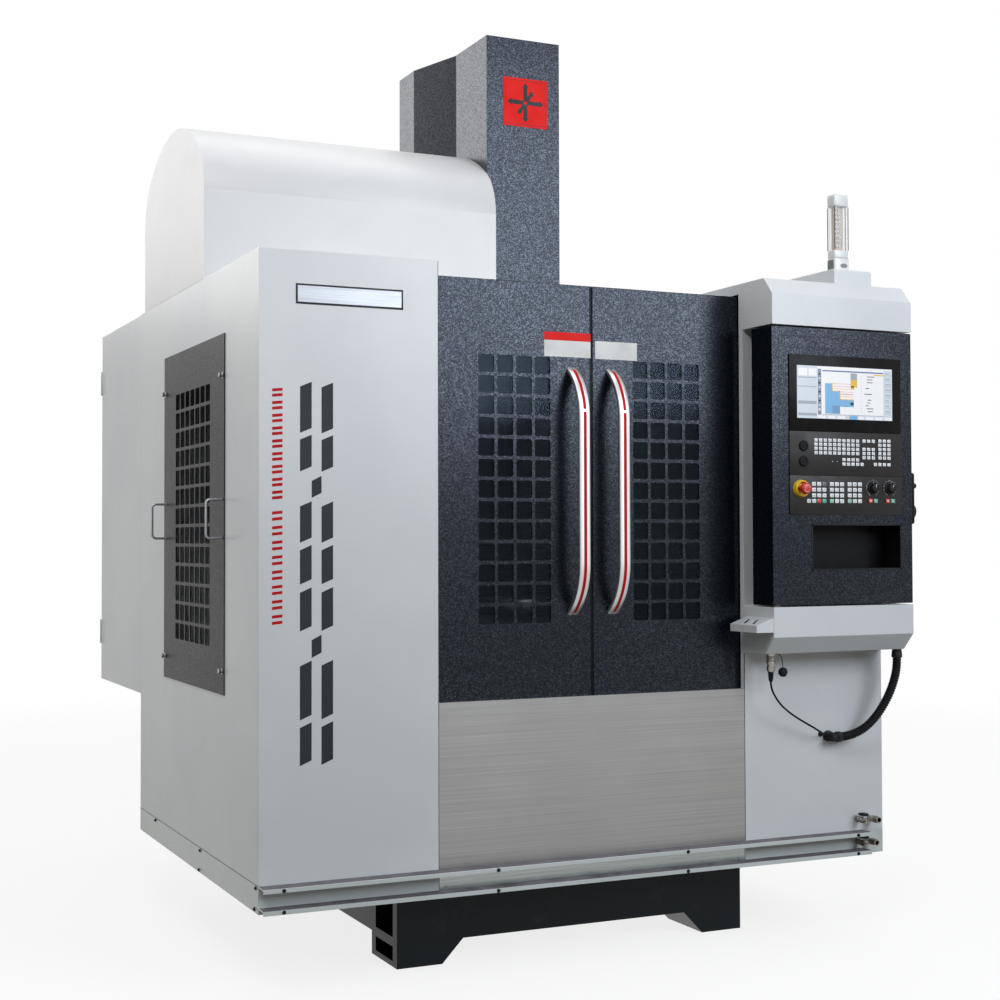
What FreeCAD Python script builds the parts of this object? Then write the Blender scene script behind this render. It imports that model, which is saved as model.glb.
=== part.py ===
# Five-axis vertical machining center with a sheet metal enclosure.
# Lengths are in millimetres. X runs to the right along the front, Y to the back, Z up from the floor.
# Sizes below are measured from the left side, the front face of the housings and the floor;
# save() moves every piece so that the origin lies on the floor in the middle of the machine.
import FreeCAD, Part
import math
import os

os.makedirs("parts", exist_ok=True)
V = FreeCAD.Vector

# Enclosure, from left to right and from the floor up
sheet = 3.0
left_w = 520.0
doorway_w = 1012.0
right_w = 518.0
body_d = 1390.0
pan_bottom = 226.0
pan_top = 300.0
sill_z = 762.0
roof_z = 1940.0
housing_top = 2000.0
hem = 20.0                  # depth of the folded edges beside the doorway
touch = 0.3                 # gap between pieces that only meet

# How far pieces stand out of the housings, which fixes the origin
side_reach = 52.0           # handles on the side panels and the handwheel pendant
front_reach = 195.0         # emergency stop
rear_reach = 690.0          # latch of the electrical cabinet

# Drip pan and its two front ledges
ledge_out = 46.0
ledge_lip = 12.0
ledge_low = 17.0            # height of the lower ledge over the bottom of the pan
ledge_end = 78.0            # the ledges stop this far short of the right edge
pan_wall = 4.0
bolt_r = 5.5
bolt_h = 5.0
front_bolts = (57.0, 681.0, 1300.0, 1920.0)
side_bolts = ((20.0, 293.0), (593.0, 293.0), (1164.0, 293.0), (31.0, 236.0), (606.0, 233.0))

# Cast base
base_x0 = 448.0
base_x1 = 1603.0
base_y0 = 137.0
base_y1 = 1300.0
foot_w = 140.0
foot_d = 200.0
foot_h = 68.0
foot_slant = 66.0
cast_wall = 32.0
bed_x0 = 760.0
bed_x1 = 1442.0
bed_flare = 120.0
bed_y0 = 150.0
bed_z = 520.0
pad_h = 40.0

# Machine axes
spindle_x = 1101.0
spindle_y = 755.0
rail_w = 34.0
rail_h = 29.0
block_w = 100.0
block_l = 110.0
block_h = 43.0
block_lift = 5.0            # height of a guide block above the foot of its rail
y_rail_span = 271.0         # each rail lies this far to the side of the spindle axis
x_rail_span = 110.0
z_rail_span = 123.0
saddle_w = 802.0
saddle_d = 330.0
saddle_t = 52.0
table_w = 640.0
table_d = 320.0
table_t = 52.0

# Trunnion with its tilting cradle and rotary table
tilt_z = 1040.0
trunnion_w = 640.0
trunnion_d = 200.0
trunnion_foot = 30.0
support_t = 80.0
support_r = 95.0
cradle_gap = 2.0
cradle_arm_t = 40.0
cradle_arm_r = 80.0
cradle_plate_z = 905.0
cradle_plate_t = 60.0
cradle_plate_d = 180.0
tilt_shaft_r = 40.0
tilt_shaft_l = 58.0
drive_r = 75.0
drive_h = 43.0
rotary_r = 160.0
rotary_top = 1020.0
rotary_t = 45.0
rotary_shaft_r = 60.0
rotary_shaft_l = 60.0
rotary_bore_r = 20.0
rotary_bore_l = 40.0
slot_n = 8
running = 0.05              # radial clearance of a turning shaft

# Spindle head and column
nose_z = 1620.0
nose_r = 85.0
nose_h = 80.0
head_w = 240.0
head_h = 300.0
head_front = 100.0          # from the spindle axis to the front of the head
plate_t = 30.0
plate_w = 340.0
plate_z0 = 1640.0
plate_z1 = 2160.0
motor_w = 180.0
motor_h = 300.0
spindle_r = 50.0
spindle_l = 180.0
taper_r = 22.2
taper_l = 65.0
column_w = 320.0
column_y = 1130.0
column_back = 1380.0
column_top = 2450.0
column_neck = 110.0
column_step = 100.0

# Tool magazine behind the hood and its change arm
disc_y = 855.0
disc_z = 2080.0
disc_r = 235.0
disc_x = 575.0
disc_t = 20.0
pocket_ring = 205.0
pocket_r = 34.0
pocket_bore = 22.0
pocket_l = 95.0
pocket_n = 12
arm_x = 820.0
arm_y = 805.0
arm_z = 1578.0
arm_t = 22.0
arm_reach = 285.4
arm_hub_r = 45.0
arm_shaft_r = 30.0
cam_box = 120.0
cam_z0 = 1660.0
cam_z1 = 1860.0

# Telescopic guards over the Y guide rails
leaf_t = 2.0
leaf_gap = 0.4
leaf_front_l = 250.0
leaf_rear_l = 175.0
leaf_top = 594.0            # underside of the lowest leaf
leaf_half = 329.0           # half width inside the lowest leaf
end_plate_h = 41.0

# Sliding doors
door_y = 24.0
door_t = 30.0
door_z0 = 742.0
door_z1 = 1962.0
door_play = 6.0             # room over the doors
door_seam = 1022.0
door_gap = 2.0
door_lap = 30.0
window_side = 253.0         # from the seam to the middle of a window
hole = 50.0
pitch = 60.0
window_cols = 4
window_rows = 13
window_z0 = 976.0
glass_t = 6.0
glass_lap = 18.0
frame_w = 10.0
handle_side = 66.0
handle_w = 35.0
handle_t = 14.0
handle_out = 80.0
handle_z0 = 996.0
handle_z1 = 1720.0
handle_bend = 150.0
door_rail_z = 1902.0
door_rail_h = 16.0
door_rail_y = 66.0
header_y0 = 80.0
header_y1 = 120.0
header_z0 = 1880.0
track_z0 = 715.0
track_z1 = 735.0
fin_t = 4.0
carriage_w = 120.0

# Side access panels
access_y0 = 329.0
access_y1 = 1045.0
access_z0 = 776.0
access_z1 = 1808.0
access_lap = 30.0
access_cols = 7
access_rows = 13
screw_r = 9.0
screw_h = 12.0
screw_in = 17.0
grip_r = 4.0
grip_h = 110.0
grip_z = 1278.0
grip_in = 24.0

# Magazine hood and column cover
hood_y0 = 567.0
hood_y1 = 1341.0
hood_eaves = 2273.0
hood_top = 2529.0
hood_corner = 190.0         # radius of the arch at its sides
cover_front_w = 268.0
cover_back_w = 398.0
cover_y0 = 637.0
cover_y1 = 885.0
cover_y2 = 1110.0
cover_y3 = 1247.0
cover_top = 2880.0

# Electrical cabinet
cabinet_w = 1200.0
cabinet_d = 654.0
cabinet_z0 = 691.0
cabinet_z1 = 1997.0
cabinet_door_t = 18.0
latch_z = 1350.0
latch_r = 10.0
latch_l = 120.0
knuckle_r = 5.5
knuckle_l = 90.0

# Operator station on the right pillar
station_front = 158.0
cap_z0 = 1857.0
cap_chamfer_y = 115.0
cap_chamfer_z = 1950.0
tray_z0 = 873.0
tray_z1 = 1014.0
tray_chamfer_y = 112.0
tray_chamfer_z = 924.0
shelf_w = 60.0
shelf_y0 = 155.0
shelf_y1 = 15.0
shelf_z = 939.0
shelf_in_h = 43.0
shelf_out_h = 22.0
box_front = 155.0
box_back = 50.0
box_gap = 4.0
pivot_in = 50.0
pivot_y = 103.0
pin_r = 12.0
pin_l = 42.0
boss_r = 25.0
panel_x0 = 1591.0
panel_w = 416.0
panel_t = 4.0
panel_body = 40.0
panel_inset = 15.0
display_z0 = 1540.0
display_z1 = 1770.0
keyboard_z0 = 1407.3
machine_z0 = 1289.0
port_x = 1640.6
port_zs = (1495.5, 1449.2)
port_r = 16.5
cubby_x0 = 1675.0
cubby_x1 = 2004.0
cubby_z0 = 1126.0
cubby_z1 = 1258.0
cubby_d = 90.0
cubby_wall = 2.0

# Sealed keys: middle of the first key, columns, rows, and the steps to the right and down
keyboard_keys = [(1686.0, 1514.0, 10, 4, 17.1, 12.8), (1864.2, 1514.5, 3, 1, 17.5, 0.0),
                 (1864.0, 1489.3, 3, 3, 17.5, 12.85), (1924.2, 1516.0, 3, 5, 17.2, 13.0),
                 (1788.7, 1456.6, 4, 1, 16.9, 0.0), (1788.7, 1443.0, 5, 1, 16.9, 0.0),
                 (1906.5, 1443.8, 4, 1, 17.2, 0.0)]
machine_keys = [(1677.2, 1381.5, 3, 3, 19.0, 17.2), (1658.4, 1330.4, 4, 1, 19.0, 0.0),
                (1742.8, 1381.6, 3, 4, 18.9, 17.0), (1809.0, 1382.0, 3, 4, 19.1, 17.0)]
small_key = (12.0, 10.0)    # width and height
large_key = (14.5, 12.0)
key_h = 2.0

# Knobs, push keys and emergency stop
push_z = 1332.2
push_side = 9.6             # from the middle of a knob to its two push keys
push_h = 6.0
push_travel = 2.0
knob_xs = (1897.0, 1962.4)
knob_z = 1371.7
knob_r = 20.0
knob_h = 17.0
knob_shaft_r = 3.0
stop_x = 1629.4
stop_z = 1366.9
stop_r = 17.0
stop_ring_r = 27.0
stop_shaft_r = 8.0
stop_travel = 6.0

# Handwheel pendant on the right side of the operator box
pendant_y0 = 135.0
pendant_y1 = 65.0
pendant_z0 = 1262.0
pendant_z1 = 1422.0
pendant_t = 30.0
wheel_r = 26.0
wheel_z = 1302.0
wheel_shaft_r = 5.0

# Signal lamp on its duct
duct_x0 = 1795.0
duct_w = 140.0
duct_h = 47.0
duct_y0 = 112.0
duct_l = 280.0
lamp_x = 1849.0
lamp_w = 64.0
lamp_d = 40.0
lamp_h = 240.0
lamp_y = 60.0

# Air valves at the lower right corner
valve_x = 1950.0
coupler_xs = (1997.0, 1988.0)
valve_zs = (336.0, 266.0)
valve_r = 10.0
valve_l = 44.0
coupler_r = 11.0
coupler_l = 50.0
stem_r = 3.0
lever_w = 20.0
lever_t = 5.0
lever_l = 25.0

# Service connector, its cable, and the ribbed conduit to the operator box
connector_x = 1566.0
connector_y = 90.0
connector_r = 14.0
connector_l = 55.0
relief_l = 32.0
cap_out = 44.0              # the screw cap hangs beside the connector
cap_drop = 58.0
cable_r = 3.0
conduit_r = 14.0
conduit_bore = 10.0
conduit_rib = 2.0
rib_pitch = 20.0
gland_r = 15.0
elbow_l = 30.0
cord_sides = 12
cord_step = 0.3             # turn in radians between two rings of the cable

width = left_w + doorway_w + right_w
door_x0 = left_w
door_x1 = left_w + doorway_w
cover_x0 = spindle_x - cover_front_w / 2
mid_x = width / 2
ledge_tops = (pan_top, pan_bottom + ledge_low)
mid_y = (body_d + rear_reach - front_reach) / 2


def box(x0, x1, y0, y1, z0, z1):
    return Part.makeBox(x1 - x0, y1 - y0, z1 - z0, V(x0, y0, z0))


def rod(radius, start, end):
    axis = end - start
    return Part.makeCylinder(radius, axis.Length, start, axis)


def prism(points, depth):
    outline = Part.makePolygon(points + [points[0]])
    return Part.Face(outline).extrude(depth)


def stud(radius, start, end, sides=10):
    """Many-sided bar, for small round things that repeat."""
    turn = FreeCAD.Rotation(V(0, 0, 1), end - start)
    angles = [2 * math.pi * i / sides for i in range(sides)]
    return prism([start + turn.multVec(V(radius * math.cos(a), radius * math.sin(a), 0)) for a in angles],
                 end - start)


def side_prism(outline, x0, x1):
    return prism([V(x0, y, z) for y, z in outline], V(x1 - x0, 0, 0))


def front_prism(outline, y0, y1):
    return prism([V(x, y0, z) for x, z in outline], V(0, y1 - y0, 0))


def plan_prism(outline, z0, z1):
    return prism([V(x, y, z0) for x, y in outline], V(0, 0, z1 - z0))


def join(first, *others):
    return first.multiFuse(list(others)).removeSplitter()


def cut(solid, *tools):
    return solid.cut(list(tools))


def save(name, *solids):
    shape = Part.makeCompound(list(solids)) if len(solids) > 1 else solids[0].copy()
    shape.translate(V(-mid_x, -mid_y, 0))
    shape.exportStep("parts/" + name + ".step")


def spread(middle, count, step):
    """Middles of a row of equal things, centred on one value."""
    return [middle + (i - (count - 1) / 2) * step for i in range(count)]


# Cast base: skirt with four feet, bed, and the pads and rails that the saddle runs on

def foot_outline():
    return [(base_x0, 0), (base_x0 + foot_w, 0), (base_x0 + foot_w + foot_slant, foot_h),
            (base_x1 - foot_w - foot_slant, foot_h), (base_x1 - foot_w, 0), (base_x1, 0),
            (base_x1, pan_bottom), (base_x0, pan_bottom)]


def skirt():
    body = box(base_x0, base_x1, base_y0, base_y1, foot_h, pan_bottom)
    bays_x = spread((base_x0 + base_x1) / 2, 3, (base_x1 - base_x0 - cast_wall) / 3)
    bay_w = (base_x1 - base_x0 - cast_wall) / 3 - cast_wall
    bay_y0 = base_y0 + foot_d
    bay_y1 = base_y1 - foot_d
    bays = [box(x - bay_w / 2, x + bay_w / 2, bay_y0, bay_y1, foot_h - 1, pan_bottom - cast_wall)
            for x in bays_x]
    feet = [front_prism(foot_outline(), y, y + foot_d) for y in (base_y0, base_y1 - foot_d)]
    body = join(cut(body, *bays), *feet)
    windows = []
    for y in (base_y0, base_y1 - foot_d):
        for x0, x1 in ((base_x0 - 1, base_x0 + 2 * cast_wall), (base_x1 - 2 * cast_wall, base_x1 + 1)):
            for z0, z1 in ((foot_h + cast_wall / 2, pan_bottom - cast_wall), (cast_wall / 2, foot_h - cast_wall / 3)):
                windows.append(box(x0, x1, y + cast_wall, y + foot_d - cast_wall, z0, z1))
    return cut(body, *windows)


def rail(along_y, x, y, z, start, end):
    """Guide rail with its foot at z, at x and running along Y, or at y and running along X."""
    if along_y:
        return box(x - rail_w / 2, x + rail_w / 2, start, end, z, z + rail_h)
    return box(start, end, y - rail_w / 2, y + rail_w / 2, z, z + rail_h)


def base_casting():
    bed = front_prism([(bed_x0 - bed_flare, pan_bottom), (bed_x1 + bed_flare, pan_bottom), (bed_x1, bed_z),
                       (bed_x0, bed_z)], bed_y0, column_back)
    pads = []
    for x in (spindle_x - y_rail_span, spindle_x + y_rail_span):
        end = column_y + column_step - touch
        pads.append(box(x - block_w / 2, x + block_w / 2, bed_y0, end, bed_z, bed_z + pad_h))
        pads.append(rail(True, x, 0, bed_z + pad_h, bed_y0, end))
    seat = box(spindle_x - column_w / 2 - pad_h, spindle_x + column_w / 2 + pad_h, column_y + column_step,
               column_back, bed_z, bed_z + pad_h)
    front_leaf = leaf(0, bed_y0, bed_y0 + leaf_front_l, bed_z)
    rear_leaf = leaf(0, column_y + column_step - leaf_rear_l, column_y + column_step, bed_z)
    save("base_casting", join(skirt(), bed, seat, front_leaf, rear_leaf, *pads))


def leaf(level, y0, y1, skirt_z):
    """One telescopic guard: a folded plate whose sides come down past the rails. Each level goes over the last."""
    out = leaf_half + leaf_t + level * (leaf_t + leaf_gap)
    top = leaf_top + leaf_t + level * (leaf_t + leaf_gap)
    shell = box(spindle_x - out, spindle_x + out, y0, y1, skirt_z, top)
    room = box(spindle_x - out + leaf_t, spindle_x + out - leaf_t, y0 - 1, y1 + 1, skirt_z - 1, top - leaf_t)
    return cut(shell, room)


def way_guards():
    saddle_front = spindle_y - saddle_d / 2
    saddle_rear = spindle_y + saddle_d / 2
    front_fixed = bed_y0
    rear_fixed = column_y + column_step - leaf_rear_l
    front_mid = (front_fixed + saddle_front - leaf_front_l) / 2
    rear_mid = (rear_fixed + saddle_rear) / 2
    skirt_z = bed_z + leaf_gap
    save("front_way_leaf", leaf(1, front_mid, front_mid + leaf_front_l, skirt_z))
    save("rear_way_leaf", leaf(1, rear_mid, rear_mid + leaf_rear_l, skirt_z))


# Column with the Z rails and the bracket of the tool magazine

def column_casting():
    x0 = spindle_x - column_w / 2
    x1 = spindle_x + column_w / 2
    low = bed_z + pad_h
    profile = [(column_y + column_step, low), (column_back, low), (column_back, 1500), (column_y + column_neck, 1860),
               (column_y + column_neck, column_top), (column_y, column_top), (column_y, 1180),
               (column_y + column_step, 1020)]
    body = side_prism(profile, x0, x1)
    hollow = box(x0 + 60, x1 - 60, column_y + column_step + 40, column_back + 1, low + 80, 1400)
    rails = [box(spindle_x + s - rail_w / 2, spindle_x + s + rail_w / 2, column_y - rail_h, column_y,
                 1190, column_top - 10) for s in (-z_rail_span, z_rail_span)]
    motor = box(spindle_x - 65, spindle_x + 65, column_y + 5, column_y + 105, column_top, column_top + 190)
    hub_arm = box(disc_x + disc_t + 5, disc_x + 65, disc_y - 50, column_y + column_neck, disc_z - 50, disc_z + 50)
    cross_arm = box(disc_x + disc_t + 5, x0, column_y + 10, column_y + column_neck, disc_z - 50, disc_z + 50)
    cam = box(arm_x - cam_box / 2, arm_x + cam_box / 2, arm_y - cam_box / 2, arm_y + cam_box / 2, cam_z0, cam_z1)
    cam_arm = box(arm_x - cam_box / 2, arm_x + cam_box / 2 - 20, arm_y, column_y + column_neck, cam_z0 + 100, cam_z1)
    cam_foot = box(arm_x, x0, column_y + 10, column_y + column_neck, cam_z0 + 100, cam_z1)
    bore = rod(arm_shaft_r + running, V(arm_x, arm_y, cam_z0 - 1), V(arm_x, arm_y, cam_z0 + 80))
    hub_bore = rod(30 + running, V(disc_x, disc_y, disc_z), V(disc_x + 60, disc_y, disc_z))
    body = join(cut(body, hollow), motor, hub_arm, cross_arm, cam, cam_arm, cam_foot, *rails)
    save("column_casting", cut(body, bore, hub_bore))


# Tool magazine disc and change arm

def magazine_disc():
    centre = V(disc_x, disc_y, disc_z)
    plate = rod(disc_r, centre, centre + V(disc_t, 0, 0))
    shaft = rod(30, centre + V(disc_t, 0, 0), centre + V(55, 0, 0))
    pockets = []
    bores = []
    for i in range(pocket_n):
        angle = 2 * math.pi * i / pocket_n - math.pi / 2
        middle = centre + V(0, pocket_ring * math.cos(angle), pocket_ring * math.sin(angle))
        pockets.append(stud(pocket_r, middle + V(disc_t - pocket_l, 0, 0), middle + V(disc_t, 0, 0), 8))
        bores.append(stud(pocket_bore, middle + V(disc_t - pocket_l - 1, 0, 0), middle + V(disc_t - 25, 0, 0), 8))
    save("magazine_disc", cut(join(plate, shaft, *pockets), *bores))


def change_arm():
    hub = V(arm_x, arm_y, arm_z)
    to_spindle = V(spindle_x - arm_x, spindle_y - arm_y, 0)
    parked = math.atan2(to_spindle.y, to_spindle.x) - math.pi / 2
    along = V(math.cos(parked), math.sin(parked), 0)
    across = V(-along.y, along.x, 0)
    up = V(0, 0, arm_t)
    half = 26
    bar = prism([hub - along * arm_reach - across * half, hub + along * arm_reach - across * half,
                 hub + along * arm_reach + across * half, hub - along * arm_reach + across * half], up)
    shaft = rod(arm_shaft_r, hub, V(arm_x, arm_y, cam_z0 + 78))
    boss = rod(arm_hub_r, hub, hub + V(0, 0, cam_z0 - arm_z - touch))
    tips = [rod(38, hub + along * (arm_reach * s), hub + along * (arm_reach * s) + up) for s in (-1, 1)]
    mouths = []
    for s in (-1, 1):
        tip = hub + along * (arm_reach * s)
        mouths.append(rod(pocket_bore, tip - up, tip + up * 2))
        mouths.append(prism([tip - up, tip - up + across * (60 * s), tip - up + across * (60 * s) + along * (20 * s),
                             tip - up + along * (20 * s)], up * 3))
    save("change_arm", cut(join(bar, boss, shaft, *tips), *mouths))


# Saddle, table and trunnion

def guide_blocks(along_y, x_list, y_list, foot_z):
    """Guide blocks that straddle their rails with a small gap."""
    blocks = []
    for x in x_list:
        for y in y_list:
            dx = block_w / 2 if along_y else block_l / 2
            dy = block_l / 2 if along_y else block_w / 2
            block = box(x - dx, x + dx, y - dy, y + dy, foot_z + block_lift, foot_z + block_lift + block_h)
            half = rail_w / 2 + touch
            if along_y:
                channel = box(x - half, x + half, y - dy - 1, y + dy + 1, foot_z, foot_z + rail_h + touch)
            else:
                channel = box(x - dx - 1, x + dx + 1, y - half, y + half, foot_z, foot_z + rail_h + touch)
            blocks.append(cut(block, channel))
    return blocks


def y_saddle():
    x0 = spindle_x - saddle_w / 2
    x1 = spindle_x + saddle_w / 2
    y0 = spindle_y - saddle_d / 2
    y1 = spindle_y + saddle_d / 2
    foot = bed_z + pad_h
    z0 = foot + block_lift + block_h
    z1 = z0 + saddle_t
    blocks = guide_blocks(True, (spindle_x - y_rail_span, spindle_x + y_rail_span),
                          (y0 + block_l / 2, y1 - block_l / 2), foot)
    pads = []
    for y in (spindle_y - x_rail_span, spindle_y + x_rail_span):
        pads.append(box(x0, x1, y - 40, y + 40, z1, z1 + pad_h))
        pads.append(rail(False, 0, y, z1 + pad_h, x0 + 5, x1 - 5))
    screw_foot = [box(x, x + 30, spindle_y - 40, spindle_y + 40, z1, z1 + 60) for x in (x0, x1 - 30)]
    screw = rod(16, V(x0 + 15, spindle_y, z1 + 30), V(x1, spindle_y, z1 + 30))
    motor = box(x1, x1 + 130, spindle_y - 45, spindle_y + 45, z1 - 15, z1 + 75)
    guards = []
    for y, length, plate_y in ((y0 - leaf_front_l, leaf_front_l, y0 - leaf_t), (y1, leaf_rear_l, y1)):
        out = leaf_half + leaf_t + 2 * (leaf_t + leaf_gap)
        top = leaf_top + leaf_t + 2 * (leaf_t + leaf_gap)
        guards.append(leaf(2, y, y + length, bed_z + leaf_gap))
        guards.append(box(spindle_x - out, spindle_x + out, plate_y, plate_y + leaf_t, top - leaf_t, top + end_plate_h))
    save("y_saddle", join(box(x0, x1, y0, y1, z0, z1), motor, screw, *blocks, *pads, *screw_foot, *guards))
    return z1 + pad_h


def x_table(foot):
    z0 = foot + block_lift + block_h
    x0 = spindle_x - table_w / 2
    x1 = spindle_x + table_w / 2
    top = box(x0, x1, spindle_y - table_d / 2, spindle_y + table_d / 2, z0, z0 + table_t)
    blocks = guide_blocks(False, (spindle_x - 180, spindle_x + 180),
                          (spindle_y - x_rail_span, spindle_y + x_rail_span), foot)
    slots = [box(x0 - 1, x1 + 1, y - 7, y + 7, z0 + table_t - 20, z0 + table_t + 1)
             for y in (spindle_y - 130, spindle_y + 130)]
    save("x_table", cut(join(top, *blocks), *slots))
    return z0 + table_t


def trunnion_frame(floor_z):
    x0 = spindle_x - trunnion_w / 2
    x1 = spindle_x + trunnion_w / 2
    plate = box(x0, x1, spindle_y - trunnion_d / 2, spindle_y + trunnion_d / 2, floor_z, floor_z + trunnion_foot)
    supports = []
    for a, b in ((x0, x0 + support_t), (x1 - support_t, x1)):
        supports.append(box(a, b, spindle_y - support_r, spindle_y + support_r, floor_z, tilt_z))
        supports.append(rod(support_r, V(a, spindle_y, tilt_z), V(b, spindle_y, tilt_z)))
    drive = rod(support_r - 7, V(x0 - 40, spindle_y, tilt_z), V(x0, spindle_y, tilt_z))
    cap = rod(support_r - 25, V(x1, spindle_y, tilt_z), V(x1 + 15, spindle_y, tilt_z))
    depth = support_t - 20
    bores = [rod(tilt_shaft_r + running, V(a, spindle_y, tilt_z), V(b, spindle_y, tilt_z))
             for a, b in ((x0 + support_t - depth, x0 + support_t), (x1 - support_t, x1 - support_t + depth))]
    save("trunnion_frame", cut(join(plate, drive, cap, *supports), *bores))


def tilt_cradle():
    half = trunnion_w / 2 - support_t - cradle_gap
    x0 = spindle_x - half
    x1 = spindle_x + half
    plate_top = cradle_plate_z + cradle_plate_t
    plate = box(x0, x1, spindle_y - cradle_plate_d / 2, spindle_y + cradle_plate_d / 2, cradle_plate_z, plate_top)
    arms = []
    for a, b, s in ((x0, x0 + cradle_arm_t, -1), (x1 - cradle_arm_t, x1, 1)):
        arms.append(box(a, b, spindle_y - cradle_arm_r, spindle_y + cradle_arm_r, cradle_plate_z, tilt_z))
        arms.append(rod(cradle_arm_r, V(a, spindle_y, tilt_z), V(b, spindle_y, tilt_z)))
        end = a if s < 0 else b
        arms.append(rod(tilt_shaft_r, V(end, spindle_y, tilt_z), V(end + s * tilt_shaft_l, spindle_y, tilt_z)))
    boss_top = rotary_top - rotary_t - touch
    boss = rod(100, V(spindle_x, spindle_y, plate_top), V(spindle_x, spindle_y, boss_top))
    drive = rod(drive_r, V(spindle_x, spindle_y, cradle_plate_z - drive_h), V(spindle_x, spindle_y, cradle_plate_z))
    bore = rod(rotary_shaft_r + running, V(spindle_x, spindle_y, rotary_top - rotary_t - rotary_shaft_l - 2),
               V(spindle_x, spindle_y, boss_top + 1))
    save("tilt_cradle", cut(join(plate, boss, drive, *arms), bore))


def rotary_table():
    centre = V(spindle_x, spindle_y, rotary_top)
    disc = rod(rotary_r, centre - V(0, 0, rotary_t), centre)
    shaft = rod(rotary_shaft_r, centre - V(0, 0, rotary_t + rotary_shaft_l), centre - V(0, 0, rotary_t))
    bore = rod(rotary_bore_r, centre - V(0, 0, rotary_bore_l), centre + V(0, 0, 1))
    slots = []
    for i in range(slot_n):
        neck = box(45, rotary_r + 1, -6, 6, -20, 1)
        root = box(45, rotary_r + 1, -10, 10, -22, -12)
        slot = neck.fuse(root)
        slot.rotate(V(0, 0, 0), V(0, 0, 1), (i + 0.5) * 360 / slot_n)
        slot.translate(centre)
        slots.append(slot)
    save("rotary_table", cut(disc.fuse(shaft), bore, *slots))


# Spindle head

def spindle_head():
    x0 = spindle_x - head_w / 2
    x1 = spindle_x + head_w / 2
    plate_y = column_y - block_lift - block_h
    z0 = nose_z + nose_h
    body = box(x0, x1, spindle_y - head_front, plate_y, z0, z0 + head_h)
    corners = [e for e in body.Edges if abs(e.tangentAt(0).z) > 0.9 and e.CenterOfMass.y < spindle_y]
    body = body.makeFillet(60, corners)
    nose = rod(nose_r, V(spindle_x, spindle_y, nose_z), V(spindle_x, spindle_y, z0))
    plate = box(spindle_x - plate_w / 2, spindle_x + plate_w / 2, plate_y - plate_t, plate_y, plate_z0, plate_z1)
    rib = side_prism([(plate_y - plate_t, z0 + head_h), (spindle_y + 140, z0 + head_h), (plate_y - plate_t, plate_z1)],
                     spindle_x - 15, spindle_x + 15)
    m = motor_w / 2
    motor = box(spindle_x - m, spindle_x + m, spindle_y - m, spindle_y + m, z0 + head_h, z0 + head_h + motor_h)
    blocks = []
    for x in (spindle_x - z_rail_span, spindle_x + z_rail_span):
        for z in (plate_z0 + block_l / 2, plate_z1 - block_l / 2):
            block = box(x - 45, x + 45, plate_y, column_y - block_lift, z - block_l / 2, z + block_l / 2)
            half = rail_w / 2 + touch
            channel = box(x - half, x + half, column_y - rail_h - touch, column_y, z - block_l, z + block_l)
            blocks.append(cut(block, channel))
    bore = rod(spindle_r + running, V(spindle_x, spindle_y, nose_z - 1), V(spindle_x, spindle_y, nose_z + spindle_l))
    save("spindle_head", cut(join(body, nose, plate, rib, motor, *blocks), bore))


def spindle():
    low = nose_z - 8
    body = rod(spindle_r, V(spindle_x, spindle_y, low), V(spindle_x, spindle_y, nose_z + spindle_l - 2))
    taper = Part.makeCone(taper_r, taper_r - taper_l * 7 / 48, taper_l, V(spindle_x, spindle_y, low), V(0, 0, 1))
    keys = [box(spindle_x - 8, spindle_x + 8, spindle_y + a, spindle_y + b, low - 6, low)
            for a, b in ((26, 44), (-44, -26))]
    save("spindle", join(cut(body, taper), *keys))


# Housings and panels

def access_opening(x0, x1):
    return box(x0, x1, access_y0 + access_lap, access_y1 - access_lap, access_z0 + access_lap, access_z1 - access_lap)


def left_housing():
    shell = box(0, left_w, 0, body_d, pan_top, housing_top)
    room = box(sheet, left_w + 1, sheet, body_d + 1, pan_top - 1, housing_top - sheet)
    jamb = box(left_w - sheet, left_w, 0, hem, pan_top, housing_top)
    upstand = box(left_w - sheet, left_w, header_y1, body_d - sheet, roof_z, housing_top)
    over_door = box(left_w - sheet, left_w, 0, header_y1, door_z1 + door_play, housing_top)
    hood_hole = box(hem, left_w + 1, hood_y0 + hem, hood_y1 - hem, roof_z - 1, housing_top + 1)
    save("left_housing", cut(join(cut(shell, room), jamb, upstand, over_door), hood_hole, access_opening(-1, sheet + 1)))


def station_cap():
    outline = [(0, cap_z0), (-station_front, cap_z0), (-station_front, cap_chamfer_z), (-cap_chamfer_y, housing_top),
               (0, housing_top)]
    inner = [(hem, cap_z0 + sheet), (-station_front + sheet, cap_z0 + sheet),
             (-station_front + sheet, cap_chamfer_z - 1), (-cap_chamfer_y + 1, housing_top - sheet),
             (hem, housing_top - sheet)]
    return side_prism(outline, door_x1, width), side_prism(inner, door_x1 + sheet, width - sheet)


def station_tray():
    outline = [(0, tray_z0), (-tray_chamfer_y, tray_z0), (-station_front, tray_chamfer_z), (-station_front, tray_z1),
               (0, tray_z1)]
    inner = [(hem, tray_z0 + sheet), (-tray_chamfer_y + 1, tray_z0 + sheet),
             (-station_front + sheet, tray_chamfer_z + 1), (-station_front + sheet, tray_z1 - sheet),
             (hem, tray_z1 - sheet)]
    return side_prism(outline, door_x1, width), side_prism(inner, door_x1 + sheet, width - sheet)


def tool_shelf():
    x0 = door_x1 - shelf_w
    wedge = front_prism([(x0, shelf_z), (door_x1, shelf_z), (door_x1, shelf_z + shelf_in_h),
                         (x0, shelf_z + shelf_out_h)], -shelf_y0, -shelf_y1)
    slots = []
    for y in (-shelf_y0 + 30, -shelf_y0 + 75):
        slots.append(plan_prism([(x0 + 10, y), (x0 + 40, y + 20), (x0 + 44, y + 30), (x0 + 12, y + 11)],
                                shelf_z - 1, shelf_z + shelf_in_h + 1))
    return cut(wedge, *slots)


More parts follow.
